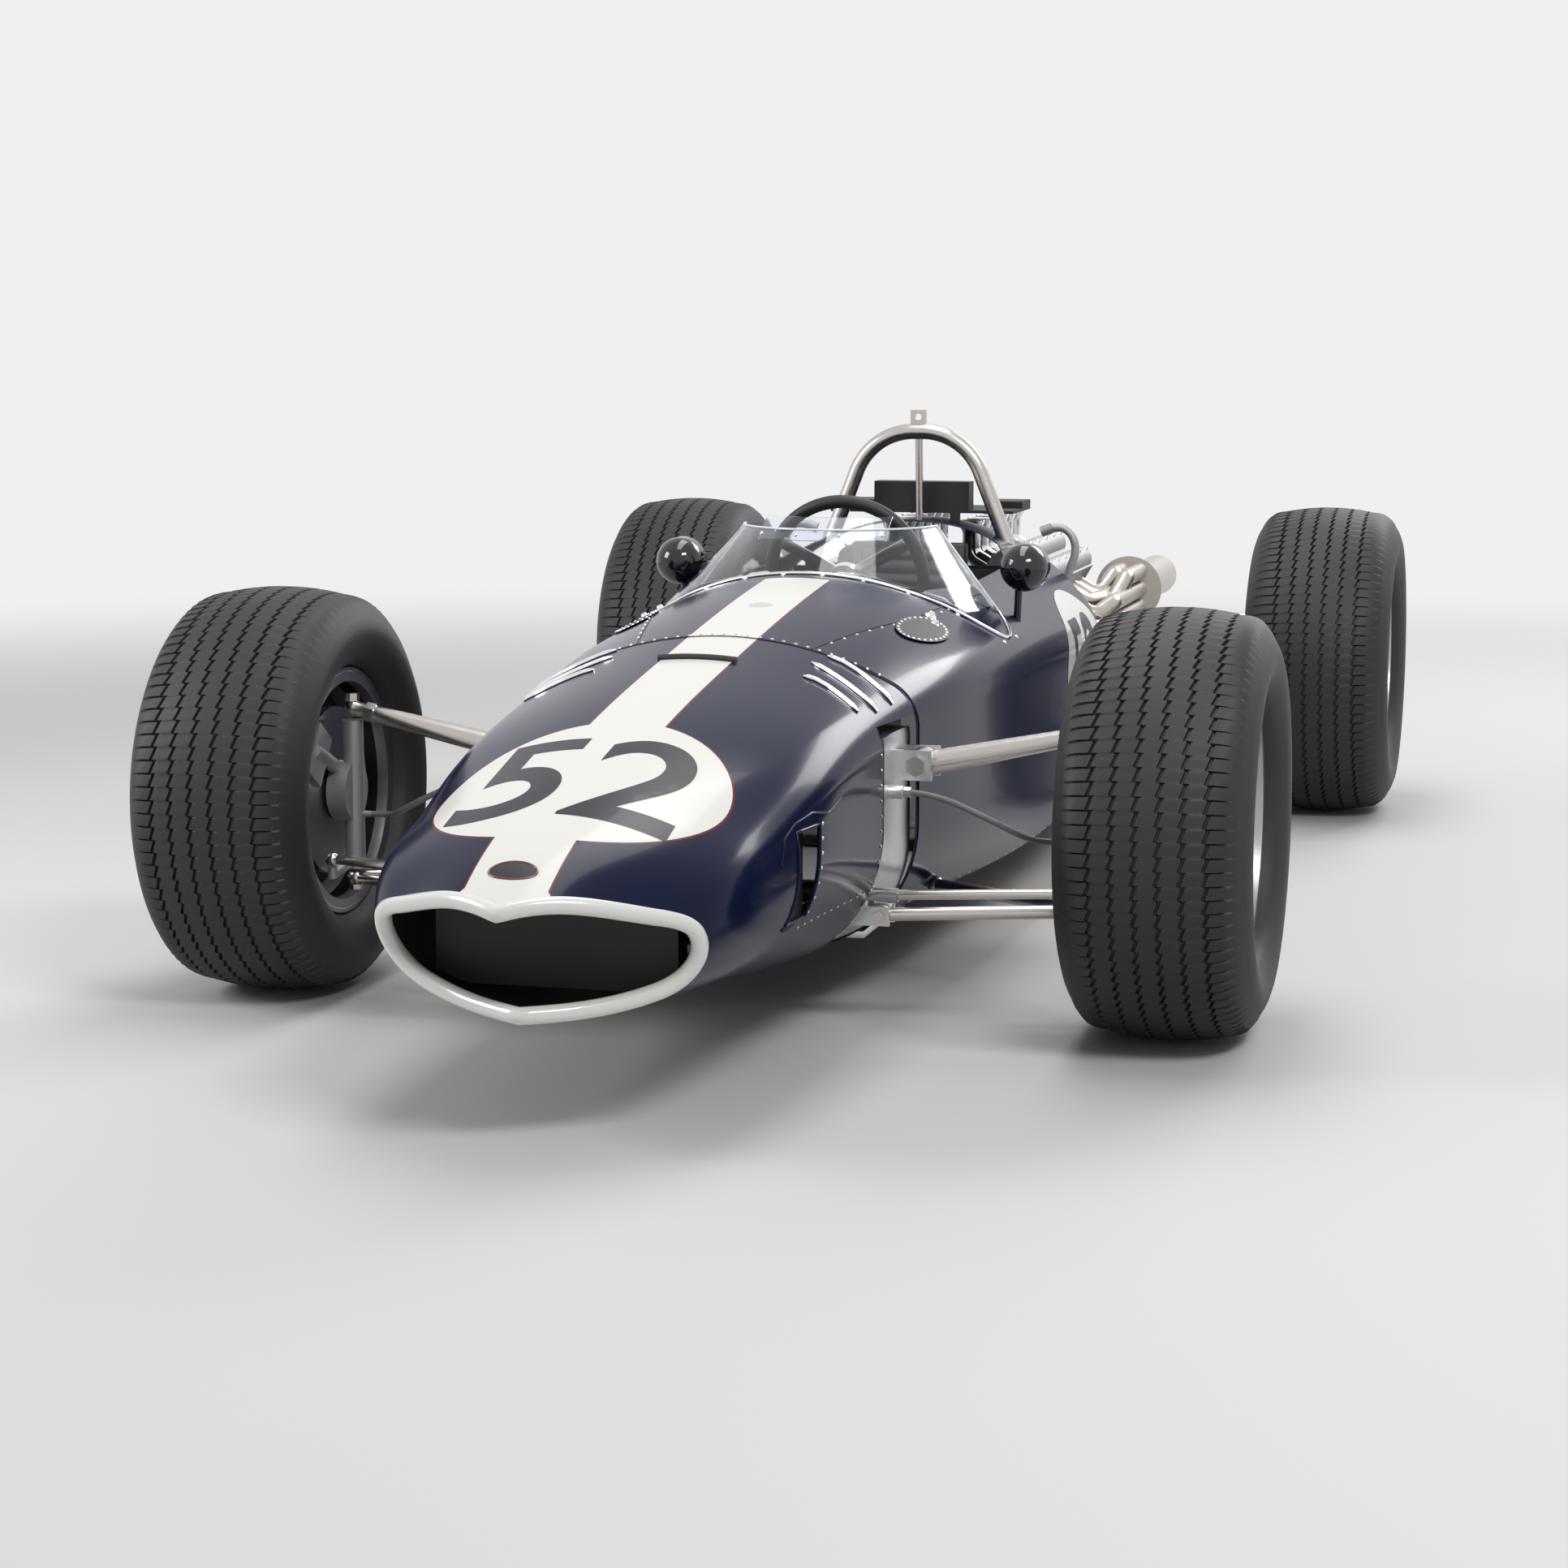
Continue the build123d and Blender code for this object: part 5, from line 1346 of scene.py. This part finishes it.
class CAR_OT_running_gear(bpy.types.Operator):
    """Adds the pivots' nuts, the cam covers' nuts, the spring coils, the breather pipes and the brake hoses"""

    bl_idname = "car.running_gear"
    bl_label = "Running gear"

    # Hexagons on the +X side, from one (x, station, height) point to another. Columns: start, end, radii
    hexagons = (
        ((344.0, 37.0, 420.0), (344.0, 47.0, 420.0), 17.0, 17.0),
        ((344.0, -37.0, 420.0), (344.0, -47.0, 420.0), 17.0, 17.0),
        ((296.0, -38.5, 183.0), (296.0, -32.0, 183.0), 10.5, 10.5),
        ((296.0, -85.5, 183.0), (296.0, -92.0, 183.0), 10.5, 10.5),
        ((628.0, 0.0, 490.0), (628.0, 0.0, 503.0), 12.0, 11.0),
        ((628.0, 0.0, 172.0), (628.0, 0.0, 180.0), 12.0, 12.0),
        ((588.0, 0.0, 469.5), (604.0, 0.0, 472.9), 16.5, 16.5),
        ((330.0, -76.0, 383.0), (344.0, -76.0, 383.0), 8.5, 8.5),
    )
    # A spring's coil: lower and upper end on the +X side, the shares between which it is wound, turns, steps a turn
    coil_ends = ((574.0, 2532.0, 188.0), (110.3, 2532.0, 520.0))
    coil_span = (0.31, 0.81)
    coil_turns, coil_steps = 9, 28
    # A breather pipe in its plane across the car: station, and (x, height) corners
    pipe_station = 1618.0
    pipe_corners = ((262, 690), (288, 692), (308, 672), (313, 640), (300, 606), (286, 560), (286, 428))
    # A brake hose from its union on the frame to its boss on the upright, as in the part's source
    hose_route = ((332.3, -76.0, 383.0), (380.0, -76.0, 383.0), (470.0, -76.0, 345.0), (530.0, -60.0, 312.0),
                  (560.1, 0.0, 300.0), (596.1, 0.0, 300.0))

    def execute(self, context):
        for build in (self.nuts, self.studs, self.coils, self.breather, self.hoses):
            build()
        return {"FINISHED"}

    def nuts(self):
        bm = bmesh.new()
        for side in (-1, 1):
            for (x0, s0, z0), (x1, s1, z1), radius, end_radius in self.hexagons:
                bar(bm, at(side * x0, s0, z0), at(side * x1, s1, z1), radius, end_radius, 6)
        link("pivot_nuts", bm, "nickel", angle=30.0)

    def studs(self):
        """Dome nuts along both edges of the cam covers."""
        across, up = math.sin(BANK_TILT), math.cos(BANK_TILT)
        first = (rear_axle - front_axle) / MM - 824.0
        places = []
        for side in (-1, 1):
            for offset in (-34.0, 34.0):
                x, z = offset * up + 419.0 * across, 262.0 - offset * across + 419.0 * up
                places += [(at(side * x, first + 90.0 * number, z), (side * across, 0.0, up)) for number in range(7)]
        bm = bmesh.new()
        domes(bm, places, 6.5, 7.0, 12)
        link("cover_nuts", bm, "bright", angle=40.0)

    def coils(self):
        """A coil wound round each rear damper, from its lower to its upper seat."""
        count = self.coil_turns * self.coil_steps
        bm = bmesh.new()
        for side in (-1, 1):
            foot, top = (at(side * x, s, z) for x, s, z in self.coil_ends)
            low, high = (foot.lerp(top, share) for share in self.coil_span)
            turn = (top - foot).to_track_quat("Z", "Y")
            path = []
            for i in range(count + 1):
                angle = math.tau * i / self.coil_steps
                path.append(low.lerp(high, i / count) + turn @ Vector((math.cos(angle), math.sin(angle), 0)) * 0.031)
            sweep(bm, path, 5.0, segments=8)
        link("spring_coils", bm, "nickel", angle=60.0)

    def breather(self):
        """The curved pale breather pipe behind the hoop's foot, on each side, down to the pontoon."""
        corners = [Vector(p) for p in self.pipe_corners]
        path = [corners[0]]
        for a, b, c in zip(corners, corners[1:], corners[2:]):
            path += [bend((a + b) / 2, b, (b + c) / 2, k / 6) for k in range(7)]
        path.append(corners[-1])
        bm = bmesh.new()
        for side in (-1, 1):
            sweep(bm, [at(side * x, self.pipe_station, z) for x, z in path], 8.5, segments=14)
            bar(bm, at(side * 262.0, self.pipe_station, 690.0), at(side * 240.0, self.pipe_station, 682.0), 11.0,
                segments=20)
        link("breather_pipes", bm, "cast", angle=60.0)

    def hoses(self):
        """The brake hoses, which stay with the chassis."""
        for side, name in ((1, "left"), (-1, "right")):
            curve = bpy.data.curves.new("brake_hose_" + name, "CURVE")
            curve.dimensions = "3D"
            curve.bevel_depth = 0.005
            curve.bevel_resolution = 4
            curve.resolution_u = 16
            curve.use_fill_caps = True
            spline = curve.splines.new("NURBS")
            spline.points.add(len(self.hose_route) - 1)
            for point, (x, s, z) in zip(spline.points, self.hose_route):
                point.co = (*at(side * x, s, z), 1.0)
            spline.order_u = 3
            spline.use_endpoint_u = True
            hose = add("flexible_hose_" + name, curve)
            curve.materials.append(materials["hose"])
            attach(hose, "chassis")
            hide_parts("brake_hose_" + name)


class CAR_OT_stage(bpy.types.Operator):
    """Sets the floor, the lights and the camera"""

    bl_idname = "car.stage"
    bl_label = "Studio"

    # Lamps. Columns: name, place, aim, width, depth, power
    lamps = (
        ("Key", (3.2, -4.2, 4.6), (0, -0.8, 0.3), 2.4, 1.2, 165.0),
        ("Top", (0.0, 0.2, 4.6), (0, 0, 0), 1.4, 5.0, 95.0),
        ("Left", (-4.4, -2.6, 2.8), (0, -0.5, 0.4), 1.8, 2.0, 120.0),
        ("Rear", (2.2, 4.6, 3.4), (0, 0.8, 0.4), 3.0, 2.0, 130.0),
    )
    # The photograph's viewpoint, found from its vanishing lines and the wheels: metres from the front axle's middle
    # on the ground, then degrees down and degrees round
    viewpoint = (1.4419, -5.0007, 1.1306)
    look_down, look_round = 8.285, 14.84

    def execute(self, context):
        scene = context.scene
        bm = bmesh.new()
        bmesh.ops.create_grid(bm, x_segments=1, y_segments=1, size=40.0)
        floor = link("floor", bm, "floor", smooth=False, ride=False)
        self.lights()
        self.camera(scene)
        world = bpy.data.worlds.new("Studio")
        scene.world = world
        world.use_nodes = True
        back = world.node_tree.nodes["Background"]
        back.inputs["Color"].default_value = BACKDROP
        world.node_tree.links.new(seen(world.node_tree, 1.0, 0.3), back.inputs["Strength"])
        scene.view_settings.view_transform = "Standard"
        return {"FINISHED"}

    def lights(self):
        for name, place, aim, width, depth, power in self.lamps:
            lamp = bpy.data.lights.new(name, "AREA")
            lamp.shape = "RECTANGLE"
            lamp.size, lamp.size_y, lamp.energy = width, depth, power
            obj = add(name, lamp)
            turn = (Vector(aim) - Vector(place)).to_track_quat("-Z", "Y")
            obj.matrix_world = Matrix.Translation(place) @ turn.to_matrix().to_4x4()

    def camera(self, scene):
        data = bpy.data.cameras.new("Camera")
        data.lens = scene.car_sizes.camera_lens
        data.sensor_width = 36.0
        obj = add("Camera", data)
        x, y, z = self.viewpoint
        obj.location = (x, front_axle + y, z)
        obj.rotation_euler = (math.radians(90.0 - self.look_down), 0.0, math.radians(self.look_round))
        scene.camera = obj


class CAR_PT_panel(bpy.types.Panel):
    """Lists the car's builders, sizes and colours"""

    bl_idname = "CAR_PT_panel"
    bl_label = "Racing car"
    bl_space_type = "VIEW_3D"
    bl_region_type = "UI"
    bl_category = "Racing car"

    def draw(self, context):
        for name in ("number", "lip_radius", "tread_depth", "camera_lens"):
            self.layout.prop(context.scene.car_sizes, name)
        for name in ("paint", "stripe", "outline", "figures"):
            self.layout.prop(context.scene.car_colours, name)
        for operator in BUILDERS:
            self.layout.operator(operator.bl_idname)


BUILDERS = (CAR_OT_nodes, CAR_OT_nose, CAR_OT_lip, CAR_OT_tub, CAR_OT_trim, CAR_OT_screen, CAR_OT_graphics,
            CAR_OT_cockpit, CAR_OT_running_gear, CAR_OT_tyres, CAR_OT_stage)
CLASSES = (CarColours, CarSizes, *BUILDERS, CAR_PT_panel)


def register():
    for cls in CLASSES:
        bpy.utils.register_class(cls)
    bpy.types.Scene.car_colours = bpy.props.PointerProperty(type=CarColours)
    bpy.types.Scene.car_sizes = bpy.props.PointerProperty(type=CarSizes)


def unregister():
    del bpy.types.Scene.car_sizes
    del bpy.types.Scene.car_colours
    for cls in reversed(CLASSES):
        bpy.utils.unregister_class(cls)


def main():
    """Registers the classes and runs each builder."""
    register()
    materials.update(make_materials(bpy.context.scene.car_colours))
    for operator in BUILDERS:
        group, name = operator.bl_idname.split(".")
        getattr(getattr(bpy.ops, group), name)()


if __name__ == "__main__":
    main()
